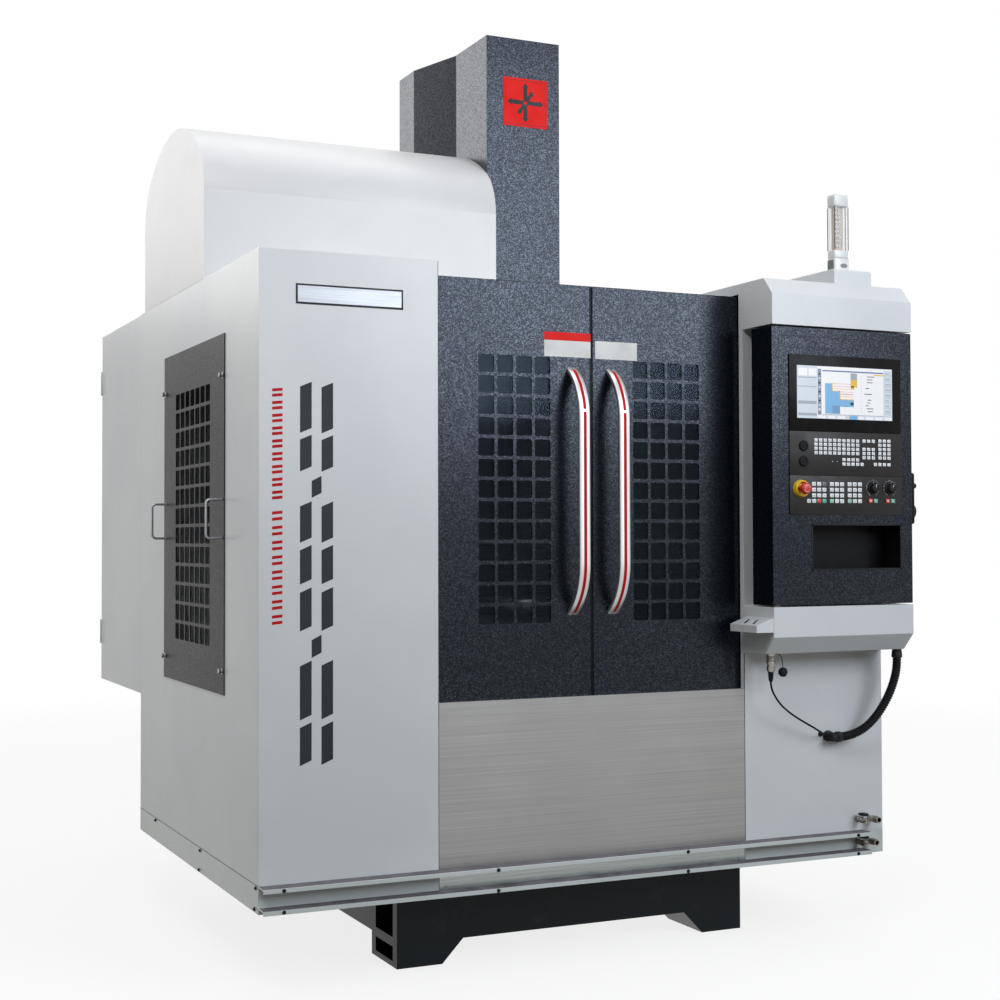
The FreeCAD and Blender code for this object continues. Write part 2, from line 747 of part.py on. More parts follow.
def right_housing():
    shell = box(door_x1, width, 0, body_d, pan_top, housing_top)
    room = box(door_x1 - 1, width - sheet, sheet, body_d + 1, pan_top - 1, housing_top - sheet)
    jamb = box(door_x1, door_x1 + sheet, 0, hem, pan_top, housing_top)
    upstand = box(door_x1, door_x1 + sheet, header_y1, body_d - sheet, roof_z, housing_top)
    over_door = box(door_x1, door_x1 + sheet, 0, header_y1, door_z1 + door_play, housing_top)
    cap, cap_room = station_cap()
    tray, tray_room = station_tray()
    body = join(cut(shell, room), jamb, upstand, over_door, cap, tray, tool_shelf())
    save("right_housing", cut(body, cap_room, tray_room, access_opening(width - sheet - 1, width + 1)))


def drip_pan():
    shell = box(0, width, 0, body_d, pan_bottom, pan_top)
    room = box(pan_wall, width - pan_wall, pan_wall, body_d - pan_wall, pan_bottom + pan_wall, pan_top + 1)
    bed_hole = box(bed_x0 - bed_flare, bed_x1 + bed_flare, bed_y0, column_back, pan_bottom - 1, pan_top)
    apron_hole = box(door_x0, door_x1, -1, sheet, pan_bottom + pan_wall, pan_top + 1)
    ledges = []
    for top in ledge_tops:
        ledges.append(side_prism([(0, top), (0, top - sheet), (-ledge_out + sheet, top - sheet),
                                  (-ledge_out + sheet, top - ledge_lip), (-ledge_out, top - ledge_lip),
                                  (-ledge_out, top)], 0, width - ledge_end))
    save("drip_pan", cut(join(cut(shell, room), *ledges), bed_hole, apron_hole))
    heads = []
    for top in ledge_tops:
        z = top - ledge_lip / 2
        for x in front_bolts:
            heads.append(stud(bolt_r, V(x, -ledge_out - bolt_h, z), V(x, -ledge_out, z)))
    for y, z in side_bolts:
        heads.append(stud(bolt_r, V(-bolt_h, y, z), V(0, y, z)))
    save("ledge_bolts", *heads)


def lower_front_panel():
    face = box(door_x0, door_x1, 0, sheet, pan_bottom + ledge_low, sill_z)
    top = box(door_x0, door_x1, 0, hem, sill_z - sheet, sill_z)
    save("lower_front_panel", join(face, top))


def back_panel():
    panel = box(sheet, width - sheet, body_d - sheet, body_d, pan_top, housing_top - sheet)
    save("back_panel", panel)


def cover_outline(inset):
    f = cover_front_w / 2 - inset
    b = cover_back_w / 2 - inset
    return [(spindle_x - f, cover_y0 + inset), (spindle_x + f, cover_y0 + inset), (spindle_x + f, cover_y1),
            (spindle_x + b, cover_y2), (spindle_x + b, cover_y3 - inset), (spindle_x - b, cover_y3 - inset),
            (spindle_x - b, cover_y2), (spindle_x - f, cover_y1)]


def column_cover():
    base = roof_z + sheet
    shell = plan_prism(cover_outline(0), base, cover_top)
    room = plan_prism(cover_outline(sheet), base - 1, cover_top - sheet)
    bracket = box(spindle_x - cover_back_w / 2 - 1, spindle_x - cover_back_w / 2 + sheet + 1, column_y + 5,
                  cover_y3 - sheet, disc_z - 55, disc_z + 55)
    save("column_cover", cut(shell, room, bracket))


def roof_panel():
    plate = box(door_x0, door_x1, header_y0, body_d - sheet, roof_z, roof_z + sheet)
    lip = hem / 4
    hood_hole = box(door_x0 - 1, cover_x0 - lip, hood_y0 + lip, hood_y1 - lip, roof_z - 1, roof_z + sheet + 1)
    column_hole = plan_prism(cover_outline(lip), roof_z - 1, roof_z + sheet + 1)
    neck = box(cover_x0 - lip - 1, cover_x0 + lip + 1, cover_y0 + lip, cover_y3 - lip, roof_z - 1, roof_z + sheet + 1)
    save("roof_panel", cut(plate, hood_hole, column_hole, neck))


def hood_outline(inset, low):
    """Upright walls under an arch of three tangent arcs, as a face at X = 0."""
    middle = (hood_y0 + hood_y1) / 2
    half = (hood_y1 - hood_y0) / 2
    rise = hood_top - hood_eaves
    side = half - hood_corner
    crown = (side ** 2 + rise ** 2 - hood_corner ** 2) / (2 * (rise - hood_corner))
    lean = math.atan2(side, crown - rise)

    def at(radius, y, z, angle):
        return V(0, y + radius * math.sin(angle), z + radius * math.cos(angle))

    edges = []
    for s in (-1, 1):
        corner = [at(hood_corner - inset, middle + s * side, hood_eaves, s * a)
                  for a in (math.pi / 2, (math.pi / 2 + lean) / 2, lean)]
        edges.append(Part.Arc(*corner).toShape())
        edges.append(Part.makeLine(V(0, middle + s * (half - inset), low), corner[0]))
    top = [at(crown - inset, middle, hood_eaves - crown + rise, a) for a in (-lean, 0, lean)]
    edges.append(Part.Arc(*top).toShape())
    edges.append(Part.makeLine(V(0, middle - half + inset, low), V(0, middle + half - inset, low)))
    return Part.Face(Part.Wire(Part.__sortEdges__(edges)))


def magazine_hood():
    x1 = cover_x0 - touch
    shell = hood_outline(0, roof_z + sheet).extrude(V(x1, 0, 0))
    room = hood_outline(sheet, roof_z).extrude(V(x1 - 2 * sheet, 0, 0))
    room.translate(V(sheet, 0, 0))
    over_left = box(-1, left_w, hood_y0 - 1, hood_y1 + 1, roof_z, housing_top)
    cover = plan_prism(cover_outline(-touch), roof_z, cover_top)
    save("magazine_hood", cut(shell, room, over_left, cover))


def cabin_liner():
    low = 640.0
    gap_z = arm_z - 30
    back_y = column_y - rail_h - 9
    left = box(door_x0 - hem, door_x0 - hem + 2, header_y1, back_y, low, gap_z)
    right_x = door_x1 + 6 * hem
    right = box(right_x, right_x + 2, header_y1, back_y, low, roof_z)
    back = box(door_x0 - hem, right_x + 2, back_y, back_y + 2, low, roof_z)
    head_way = box(spindle_x - 200, spindle_x + 200, back_y - 1, back_y + 3, 1225, roof_z + 1)
    arm_way = box(arm_x - 320, spindle_x + 200, back_y - 1, back_y + 3, gap_z, roof_z + 1)
    pan = []
    for x0, x1 in ((door_x0 - hem, bed_x0 - 4), (right_x + 2, bed_x1 + 4)):
        s = 1 if x1 > x0 else -1
        pan.append(front_prism([(x0, low), (x1, bed_z), (x1, bed_z + 2), (x0 + s * 2, low + 2)], header_y1, back_y))
    save("cabin_liner", join(cut(back, head_way, arm_way), left, right, *pan))


# Side access panels with their screws and handles

def side_access(side):
    """Plate on the outside of a housing; side is -1 on the left and 1 on the right."""
    face = 0 if side < 0 else width
    plate = box(min(face, face + side * sheet), max(face, face + side * sheet), access_y0, access_y1, access_z0,
                access_z1)
    if side > 0:
        return plate
    holes = [box(-sheet - 1, 1, y - hole / 2, y + hole / 2, z - hole / 2, z + hole / 2)
             for y in spread((access_y0 + access_y1) / 2, access_cols, pitch)
             for z in spread((access_z0 + access_z1) / 2, access_rows, pitch)]
    return cut(plate, *holes)


def grip(x, y, side):
    """U handle that stands out of a side panel to side_reach."""
    out = side * (side_reach - sheet - grip_r)
    low = grip_z - grip_h / 2
    high = grip_z + grip_h / 2
    legs = [stud(grip_r, V(x, y, z), V(x + out, y, z), 8) for z in (low, high)]
    bar = stud(grip_r, V(x + out, y, low - grip_r), V(x + out, y, high + grip_r), 8)
    return join(bar, *legs)


def access_panels():
    save("left_access_panel", side_access(-1))
    save("right_access_panel", side_access(1))
    hardware = []
    for side, face in ((-1, -sheet), (1, width + sheet)):
        for y in (access_y0 + grip_in, access_y1 - grip_in):
            hardware.append(grip(face, y, side))
        for y in (access_y0 + screw_in, access_y1 - screw_in):
            for z in (access_z0 + 4 * screw_in, access_z1 - 7 * screw_in):
                hardware.append(stud(screw_r, V(face, y, z), V(face + side * screw_h, y, z)))
    save("access_hardware", *hardware)


# Sliding doors

def window_holes(x):
    y0 = door_y - 1
    y1 = door_y + sheet + 1
    middle_z = window_z0 + ((window_rows - 1) * pitch + hole) / 2
    return [box(a - hole / 2, a + hole / 2, y0, y1, z - hole / 2, z + hole / 2)
            for a in spread(x, window_cols, pitch) for z in spread(middle_z, window_rows, pitch)]


def window_box(x, grow, y0, y1):
    half = ((window_cols - 1) * pitch + hole) / 2 + grow
    top = window_z0 + (window_rows - 1) * pitch + hole
    return box(x - half, x + half, y0, y1, window_z0 - grow, top + grow)


def door(x0, x1, window_x):
    back = door_y + door_t
    shell = box(x0, x1, door_y, back, door_z0, door_z1)
    room = box(x0 + sheet, x1 - sheet, door_y + sheet, back + 1, door_z0 + sheet, door_z1 - sheet)
    strip = box(x0, x1, back - sheet, back, header_z0 - 10, door_z1)
    pocket_y = door_y + sheet
    ring = cut(window_box(window_x, glass_lap + frame_w, pocket_y, pocket_y + glass_t + sheet),
               window_box(window_x, glass_lap, pocket_y - 1, pocket_y + glass_t),
               window_box(window_x, 4, pocket_y, pocket_y + glass_t + sheet + 1))
    carriages = []
    for x in (x0 + carriage_w, x1 - carriage_w):
        block = box(x - carriage_w / 2, x + carriage_w / 2, back, header_y0 - 1, door_rail_z - 12,
                    door_rail_z + door_rail_h + 12)
        channel = box(x - carriage_w, x + carriage_w, door_rail_y - touch, header_y0, door_rail_z - touch,
                      door_rail_z + door_rail_h + touch)
        carriages.append(cut(block, channel))
    middle = (door_y + back) / 2
    fins = [box(x - 30, x + 30, middle - fin_t / 2, middle + fin_t / 2, track_z1 - 12, door_z0 + sheet)
            for x in (x0 + carriage_w, x1 - carriage_w)]
    body = join(cut(shell, room), strip, ring, *carriages, *fins)
    return cut(body, *window_holes(window_x))


def handle(x):
    """Flat bar that curves out of the door at both ends."""
    front = door_y - handle_out
    chord = handle_bend
    radius = (handle_out ** 2 + chord ** 2) / (2 * handle_out)
    middle_y = front + radius
    lean_out = math.asin(chord / radius)
    inner = radius - handle_t
    lean_in = math.acos((middle_y - door_y) / inner)
    top = handle_z1 - chord
    low = handle_z0 + chord

    def at(r, angle, z, s):
        return V(x, middle_y - r * math.cos(angle), z + s * r * math.sin(angle))

    edges = [Part.Arc(at(radius, lean_out, top, 1), at(radius, lean_out / 2, top, 1), at(radius, 0, top, 1)),
             Part.LineSegment(at(radius, 0, top, 1), at(radius, 0, low, -1)),
             Part.Arc(at(radius, 0, low, -1), at(radius, lean_out / 2, low, -1), at(radius, lean_out, low, -1)),
             Part.LineSegment(at(radius, lean_out, low, -1), at(inner, lean_in, low, -1)),
             Part.Arc(at(inner, lean_in, low, -1), at(inner, lean_in / 2, low, -1), at(inner, 0, low, -1)),
             Part.LineSegment(at(inner, 0, low, -1), at(inner, 0, top, 1)),
             Part.Arc(at(inner, 0, top, 1), at(inner, lean_in / 2, top, 1), at(inner, lean_in, top, 1)),
             Part.LineSegment(at(inner, lean_in, top, 1), at(radius, lean_out, top, 1))]
    bar = Part.Face(Part.Wire([e.toShape() for e in edges])).extrude(V(handle_w, 0, 0))
    bar.translate(V(-handle_w / 2, 0, 0))
    return bar


def doors():
    save("left_door", door(door_x0 - door_lap, door_seam - door_gap / 2, door_seam - window_side))
    save("right_door", door(door_seam + door_gap / 2, door_x1 + door_lap, door_seam + window_side))
    glass_y = door_y + sheet
    for name, side in (("left", -1), ("right", 1)):
        x = door_seam + side * window_side
        save(name + "_door_glass", window_box(x, glass_lap - touch, glass_y, glass_y + glass_t))
        save(name + "_door_handle", handle(door_seam + side * handle_side))
    header = box(sheet, width - sheet, header_y0, header_y1, header_z0, roof_z)
    room = box(sheet - 1, width, header_y0 + sheet, header_y1 - sheet, header_z0 + sheet, roof_z - sheet)
    rail_bar = box(60, width - 60, door_rail_y, header_y0, door_rail_z, door_rail_z + door_rail_h)
    middle = door_y + door_t / 2
    track = box(sheet, width - sheet, middle - 9, middle + 9, track_z0, track_z1)
    groove = box(sheet - 1, width, middle - fin_t / 2 - touch, middle + fin_t / 2 + touch, track_z0 + 5, track_z1 + 1)
    save("door_rails", join(cut(header, room), rail_bar), cut(track, groove))


# Electrical cabinet on the back

def cabinet():
    y1 = body_d + cabinet_d
    shell = box(0, cabinet_w, body_d, y1, cabinet_z0, cabinet_z1)
    room = box(sheet, cabinet_w - sheet, body_d + sheet, y1 + 1, cabinet_z0 + sheet, cabinet_z1 - sheet)
    plate_y = body_d + 2 * sheet
    plate = box(80, cabinet_w - 80, body_d + sheet, plate_y, cabinet_z0 + 60, cabinet_z1 - 60)
    units = []
    for half, depth, z0, z1, xs in ((60, 220, 1450, 1830, spread(cabinet_w / 2, 5, 150)),
                                    (100, 140, 900, 1150, spread(cabinet_w / 2, 3, 280))):
        for x in xs:
            case = box(x - half, x + half, plate_y, plate_y + depth, z0, z1)
            inside = box(x - half + 2, x + half - 2, plate_y - 1, plate_y + depth - 2, z0 + 2, z1 - 2)
            units.append(cut(case, inside))
    save("electrical_cabinet", join(cut(shell, room), plate, *units))
    d0 = y1 + touch
    d1 = d0 + cabinet_door_t
    leaf_body = box(0, cabinet_w, d0, d1, cabinet_z0, cabinet_z1)
    leaf_room = box(sheet, cabinet_w - sheet, d0 - 1, d1 - sheet, cabinet_z0 + sheet, cabinet_z1 - sheet)
    latch_x = cabinet_w - 45
    bush = rod(latch_r + 8, V(latch_x, d0 + 4, latch_z), V(latch_x, d1, latch_z))
    hole_r = rod(latch_r + running, V(latch_x, d0, latch_z), V(latch_x, d1 + 1, latch_z))
    knuckles = [rod(knuckle_r, V(0, d1, z - knuckle_l / 2), V(0, d1, z + knuckle_l / 2))
                for z in (cabinet_z0 + 2 * knuckle_l, cabinet_z1 - 2 * knuckle_l)]
    save("cabinet_door", cut(join(cut(leaf_body, leaf_room), bush, *knuckles), hole_r))
    out = body_d + rear_reach
    spindle_rod = rod(latch_r, V(latch_x, d0 + 4, latch_z), V(latch_x, out - 8, latch_z))
    lever = box(latch_x - 12, latch_x + 12, out - 14, out, latch_z - latch_l, latch_z + 16)
    save("cabinet_latch", join(spindle_rod, lever))


# Operator box that swivels on two pins between the cap and the tray

def operator_box():
    z0 = tray_z1 + box_gap
    z1 = cap_z0 - box_gap
    pivot = V(door_x1 + pivot_in, -pivot_y, 0)
    shell = box(door_x1, width, -box_front, -box_back, z0, z1)
    room = box(door_x1 + sheet, width - sheet, -box_front + sheet, -box_back - sheet, z0 + sheet, z1 - sheet)
    panels = box(panel_x0 + panel_inset - touch, panel_x0 + panel_w - panel_inset + touch, -box_front - 1,
                 -box_front + sheet + 1, machine_z0 + panel_inset - touch, display_z1 - panel_inset + touch)
    pocket = box(cubby_x0 - cubby_wall, cubby_x1 + cubby_wall, -box_front, -box_front + cubby_d + cubby_wall,
                 cubby_z0 - cubby_wall, cubby_z1 + cubby_wall)
    pocket_room = box(cubby_x0, cubby_x1, -box_front - 1, -box_front + cubby_d, cubby_z0, cubby_z1)
    bosses = [rod(boss_r, pivot + V(0, 0, a), pivot + V(0, 0, b))
              for a, b in ((z0, z0 + pin_l), (z1 - pin_l, z1))]
    bores = [rod(pin_r + running, pivot + V(0, 0, a), pivot + V(0, 0, b))
             for a, b in ((z0 - 1, z0 + pin_l), (z1 - pin_l, z1 + 1))]
    body = join(cut(shell, room, panels), pocket, *bosses)
    save("operator_box", cut(body, pocket_room, *bores))
    pins = [rod(pin_r, pivot + V(0, 0, a), pivot + V(0, 0, b))
            for a, b in ((tray_z1, z0 + pin_l - 2), (z1 - pin_l + 2, cap_z0))]
    save("swivel_pins", *pins)


def panel_unit(z0, z1, low_in, high_in):
    """Front plate on the operator box with its body in the opening."""
    face = box(panel_x0, panel_x0 + panel_w, -box_front - panel_t, -box_front, z0, z1)
    body = box(panel_x0 + panel_inset, panel_x0 + panel_w - panel_inset, -box_front, -box_front + panel_body,
               z0 + low_in, z1 - high_in)
    return join(face, body)


def key_block(block, size):
    x, z, cols, rows, across, down = block
    wide, tall = size
    front = -box_front - panel_t
    return [box(a - wide / 2, a + wide / 2, front - key_h, front, b - tall / 2, b + tall / 2)
            for a in (x + c * across for c in range(cols)) for b in (z - r * down for r in range(rows))]


def panels():
    front = -box_front - panel_t
    save("display_unit", panel_unit(display_z0, display_z1, 0, panel_inset))
    keyboard = panel_unit(keyboard_z0, display_z0 - touch, 0, 0)
    ports = [stud(port_r, V(port_x, front - 6, z), V(port_x, front, z), 16) for z in port_zs]
    save("keyboard_panel", join(keyboard, *ports))
    stop = V(stop_x, front, stop_z)
    ring = rod(stop_ring_r, stop - V(0, 6, 0), stop)
    wells = [push_box(x, touch, front - 1, front + push_h + push_travel) for x in push_xs()]
    sockets = [rod(knob_shaft_r + running, V(x, front - 1, knob_z), V(x, front + 21, knob_z)) for x in knob_xs]
    stop_hole = rod(stop_shaft_r + running, stop - V(0, 7, 0), stop + V(0, 31, 0))
    plate = join(panel_unit(machine_z0, keyboard_z0 - touch, panel_inset, 0), ring)
    save("machine_panel", cut(plate, stop_hole, *wells, *sockets))
    keys = [key_block(block, small_key) for block in keyboard_keys]
    keys += [key_block(block, large_key) for block in machine_keys]
    save("panel_keys", *sum(keys, []))


def push_xs():
    return [x + s * push_side for x in knob_xs for s in (-1, 1)]


def push_box(x, grow, y0, y1):
    wide, tall = large_key
    return box(x - wide / 2 - grow, x + wide / 2 + grow, y0, y1, push_z - tall / 2 - grow, push_z + tall / 2 + grow)


def controls():
    front = -box_front - panel_t
    for name, x in zip(("feed_stop_key", "feed_start_key", "spindle_stop_key", "spindle_start_key"), push_xs()):
        save(name, push_box(x, 0, front - push_travel - 1, front + push_h - push_travel))
    for name, x in zip(("feed_override_knob", "spindle_override_knob"), knob_xs):
        centre = V(x, front, knob_z)
        skirt_disc = rod(knob_r, centre - V(0, 5, 0), centre - V(0, touch, 0))
        cap = Part.makeCone(knob_r - 6, knob_r - 8, knob_h - 5, centre - V(0, 5, 0), V(0, -1, 0))
        shaft = rod(knob_shaft_r, centre, centre + V(0, 20, 0))
        link = rod(knob_shaft_r, centre - V(0, touch, 0), centre)
        save(name, join(skirt_disc, cap, shaft, link))
    centre = V(stop_x, front, stop_z)
    head_y = front_reach - box_front - panel_t
    dome = Part.makeCone(stop_r - 5, stop_r, 4, centre - V(0, head_y, 0), V(0, 1, 0))
    head = rod(stop_r, centre - V(0, head_y - 4, 0), centre - V(0, head_y - 14, 0))
    neck = Part.makeCone(stop_r, stop_r - 7, head_y - 14 - 6 - stop_travel - 2, centre - V(0, head_y - 14, 0), V(0, 1, 0))
    shaft = rod(stop_shaft_r, centre - V(0, head_y - 14, 0), centre + V(0, 22, 0))
    save("emergency_stop", join(dome, head, neck, shaft))


def pendant():
    z_mid = wheel_z
    y_mid = -(pendant_y0 + pendant_y1) / 2
    face = width + pendant_t
    body = box(width, face, -pendant_y0, -pendant_y1, pendant_z0, pendant_z1)
    body = body.makeFillet(8, [e for e in body.Edges if e.CenterOfMass.x > width + 1 and e.Length > pendant_t + 1])
    selectors = [stud(11, V(face, y_mid + s * 17, pendant_z1 - 40), V(face + 14, y_mid + s * 17, pendant_z1 - 40))
                 for s in (-1, 1)]
    bore = rod(wheel_shaft_r + running, V(face - 15, y_mid, z_mid), V(face + 1, y_mid, z_mid))
    save("handwheel_pendant", cut(join(body, *selectors), bore))
    out = width + side_reach
    wheel = rod(wheel_r, V(face + touch, y_mid, z_mid), V(out - 8, y_mid, z_mid))
    crank = stud(5, V(out - 8, y_mid, z_mid + wheel_r - 8), V(out, y_mid, z_mid + wheel_r - 8), 8)
    shaft = rod(wheel_shaft_r, V(face - 14, y_mid, z_mid), V(face + touch, y_mid, z_mid))
    save("pendant_handwheel", join(wheel, crank, shaft))


def lamp():
    duct = box(duct_x0, duct_x0 + duct_w, -duct_y0, -duct_y0 + duct_l, housing_top, housing_top + duct_h)
    front = [e for e in duct.Edges if e.CenterOfMass.z > housing_top + duct_h - 1 and abs(e.tangentAt(0).x) > 0.9]
    save("lamp_duct", duct.makeChamfer(8, front))
    z0 = housing_top + duct_h
    body = box(lamp_x - lamp_w / 2, lamp_x + lamp_w / 2, -lamp_y - lamp_d / 2, -lamp_y + lamp_d / 2, z0, z0 + lamp_h)
    uprights = [e for e in body.Edges if abs(e.tangentAt(0).z) > 0.9]
    save("signal_lamp", body.makeFillet(10, uprights))


# Ball valves with levers, and quick couplers beside them

def valves():
    bodies = []
    y = -valve_l / 2
    for name, z, coupler_x in zip(("upper_valve_lever", "lower_valve_lever"), valve_zs, coupler_xs):
        top = z + valve_r + 4
        body = stud(valve_r, V(valve_x, -valve_l, z), V(valve_x, 0, z), 6)
        turret = stud(valve_r - 4, V(valve_x, y, z), V(valve_x, y, top), 8)
        pipe = stud(5, V(valve_x, -valve_l - 6, z), V(valve_x, -valve_l, z), 8)
        socket = rod(stem_r + running, V(valve_x, y, z + 4), V(valve_x, y, top + 1))
        bodies.append(cut(join(body, turret, pipe), socket))
        collar = stud(coupler_r, V(coupler_x, -coupler_l, z), V(coupler_x, 0, z))
        mouth = rod(coupler_r - 4, V(coupler_x, -coupler_l - 1, z), V(coupler_x, -coupler_l + 24, z))
        bodies.append(cut(collar, mouth))
        stem = rod(stem_r, V(valve_x, y, z + 5), V(valve_x, y, top + lever_t))
        lever = box(valve_x - lever_w / 2, valve_x + lever_w / 2, y - lever_l, y + 8, top + touch, top + lever_t)
        save(name, join(stem, lever))
    save("air_valves", *bodies)


# Loose cords: straight runs joined by tangent arcs

cable_route = [(1566.0, -90.0, 786.0), (1566.0, -90.0, 774.0), (1580.0, -87.0, 746.0), (1609.0, -81.0, 714.0),
               (1652.0, -73.0, 685.0), (1700.0, -64.0, 660.0), (1748.0, -53.0, 638.0), (1786.0, -42.0, 619.0),
               (1812.0, -24.0, 609.0), (1812.0, -7.0, 609.0)]
conduit_route = [(2035.0, -95.0, 851.0), (2035.0, -95.0, 815.0), (2024.0, -94.0, 775.0), (2010.0, -91.0, 738.0),
                 (1992.0, -86.0, 703.0), (1972.0, -77.0, 669.0), (1949.0, -64.0, 638.0), (1922.0, -48.0, 615.0),
                 (1888.0, -36.0, 602.0), (1854.0, -36.0, 602.0)]


def tube_path(points, name):
    """Wire through the points of a route, and the radius of each bend."""
    knots = [V(*p) for p in points]
    edges = []
    radii = []
    start = knots[0]
    for before, at, after in zip(knots, knots[1:], knots[2:]):
        arrive = (at - before).normalize()
        leave = (after - at).normalize()
        turn = arrive.getAngle(leave)
        reach = 0.45 * min((at - before).Length, (after - at).Length)
        radii.append(reach / math.tan(turn / 2))
        first = at - arrive * reach
        last = at + leave * reach
        inward = (leave - arrive).normalize()
        centre = at + inward * (radii[-1] / math.cos(turn / 2))
        edges.append(Part.LineSegment(start, first).toShape())
        edges.append(Part.Arc(first, centre - inward * radii[-1], last).toShape())
        start = last
    edges.append(Part.LineSegment(start, knots[-1]).toShape())
    wire = Part.Wire(edges)
    print(name, "length", round(wire.Length, 1), "radii", [round(r) for r in radii])
    return wire


def ring_at(wire, distance, radius, steady):
    """Many-sided ring square to the wire, with its X axis kept near one direction so that rings don't twist."""
    for edge in wire.Edges:
        if distance <= edge.Length + 0.001:
            break
        distance -= edge.Length
    spot = edge.getParameterByLength(min(distance, edge.Length))
    turn = FreeCAD.Rotation(steady, V(0, 0, 0), edge.tangentAt(spot), "ZXY")
    angles = [2 * math.pi * i / cord_sides for i in range(cord_sides + 1)]
    ring = Part.makePolygon([V(radius * math.cos(a), radius * math.sin(a), 0) for a in angles])
    ring.Placement = FreeCAD.Placement(edge.valueAt(spot), turn)
    return ring


def bend_stops(wire):
    """Distances along a wire at the ends of its edges, and closer together inside its bends."""
    stops = [0.0]
    for edge in wire.Edges:
        turn = edge.tangentAt(edge.FirstParameter).getAngle(edge.tangentAt(edge.LastParameter))
        parts = math.ceil(turn / cord_step) or 1
        stops += [stops[-1] + edge.Length * (i + 1) / parts for i in range(parts)]
    return stops


def ribbed_hose(wire):
    """Hose with ribs: each rib is a ruled loft through four rings, and the ends stay plain."""
    plain = 2 * conduit_r
    count = int((wire.Length - 2 * plain) // rib_pitch)
    start = (wire.Length - count * rib_pitch) / 2
    valley = conduit_r - conduit_rib
    rings = [ring_at(wire, 0, valley, V(0, 1, 0))]
    for i in range(count):
        for share, radius in ((0.0, valley), (0.25, conduit_r), (0.5, conduit_r), (0.75, valley)):
            rings.append(ring_at(wire, start + (i + share) * rib_pitch, radius, V(0, 1, 0)))
    rings.append(ring_at(wire, wire.Length, valley, V(0, 1, 0)))
    outside = Part.makeLoft(rings, True, True)
    stops = [0.0] + [start + i * rib_pitch for i in range(count + 1)] + [wire.Length]
    bore = Part.makeLoft([ring_at(wire, d, conduit_bore, V(0, 1, 0)) for d in stops], True, True)
    print("conduit ribs", count)
    return outside.cut(bore)


def cords():
    top = V(connector_x, -connector_y, tray_z0)
    body = rod(connector_r, top, top - V(0, 0, connector_l))
    relief = Part.makeCone(connector_r - 3, 5, relief_l, top - V(0, 0, connector_l), V(0, 0, -1))
    strap = stud(1.2, top + V(cap_out, 0, 0), top + V(cap_out, 0, -cap_drop + connector_r - 2))
    cap = stud(connector_r, top + V(cap_out, -7, -cap_drop), top + V(cap_out, 7, -cap_drop), 12)
    save("service_connector", join(body, relief), join(strap, cap))
    path = tube_path(cable_route, "service cable")
    cable = Part.makeLoft([ring_at(path, d, cable_r, V(1, 0, 0)) for d in bend_stops(path)], True, True)
    section = cord_sides / 2 * cable_r ** 2 * math.sin(2 * math.pi / cord_sides)
    print("service cable volume", round(cable.Volume), "of", round(section * path.Length))
    save("service_cable", cable)
    save("panel_conduit", ribbed_hose(tube_path(conduit_route, "panel conduit")))
    high = V(*conduit_route[0])
    low = V(*conduit_route[-1])
    top_gland = stud(gland_r, high, V(high.x, high.y, tray_z0), 12)
    elbow_in = stud(gland_r, low, low - V(elbow_l, 0, 0), 12)
    leg = low - V(elbow_l / 2, 0, 0)
    elbow_out = stud(gland_r - 2, leg, V(leg.x, 0, leg.z), 12)
    wall_end = V(*cable_route[-1])
    small_gland = stud(2 * cable_r, wall_end, V(wall_end.x, 0, wall_end.z), 12)
    save("cord_glands", top_gland, join(elbow_in, elbow_out), small_gland)


def build():
    base_casting()
    way_guards()
    column_casting()
    magazine_disc()
    change_arm()
    rail_foot = y_saddle()
    floor_z = x_table(rail_foot)
    trunnion_frame(floor_z)
    tilt_cradle()
    rotary_table()
    spindle_head()
    spindle()
    left_housing()
    right_housing()
    drip_pan()
    lower_front_panel()
    back_panel()
    roof_panel()
    column_cover()
    magazine_hood()
    cabin_liner()
    access_panels()
    doors()
    cabinet()
    operator_box()
    panels()
    controls()
    pendant()
    lamp()
    valves()
    cords()


build()
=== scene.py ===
import bmesh
import bpy
import math
import random
from mathutils import Matrix, Vector


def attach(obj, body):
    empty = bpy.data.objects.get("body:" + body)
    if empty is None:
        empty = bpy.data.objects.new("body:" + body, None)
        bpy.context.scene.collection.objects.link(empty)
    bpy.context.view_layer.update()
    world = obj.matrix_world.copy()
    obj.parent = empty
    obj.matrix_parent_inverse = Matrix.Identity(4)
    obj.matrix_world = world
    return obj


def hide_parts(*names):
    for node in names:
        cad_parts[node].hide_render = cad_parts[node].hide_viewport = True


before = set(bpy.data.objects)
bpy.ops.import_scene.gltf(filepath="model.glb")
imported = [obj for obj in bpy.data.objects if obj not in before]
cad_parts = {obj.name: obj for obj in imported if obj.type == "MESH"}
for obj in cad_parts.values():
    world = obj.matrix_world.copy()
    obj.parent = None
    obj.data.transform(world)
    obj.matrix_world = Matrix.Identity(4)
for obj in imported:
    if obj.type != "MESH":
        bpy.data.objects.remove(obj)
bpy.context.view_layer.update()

# Five-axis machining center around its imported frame. Scene units are metres.
# Places on the machine are written in millimetres from its left side, its front face and the floor.
originShift = Vector((1025.0, 942.5, 0.0))
mm = 0.001


# Camera and light

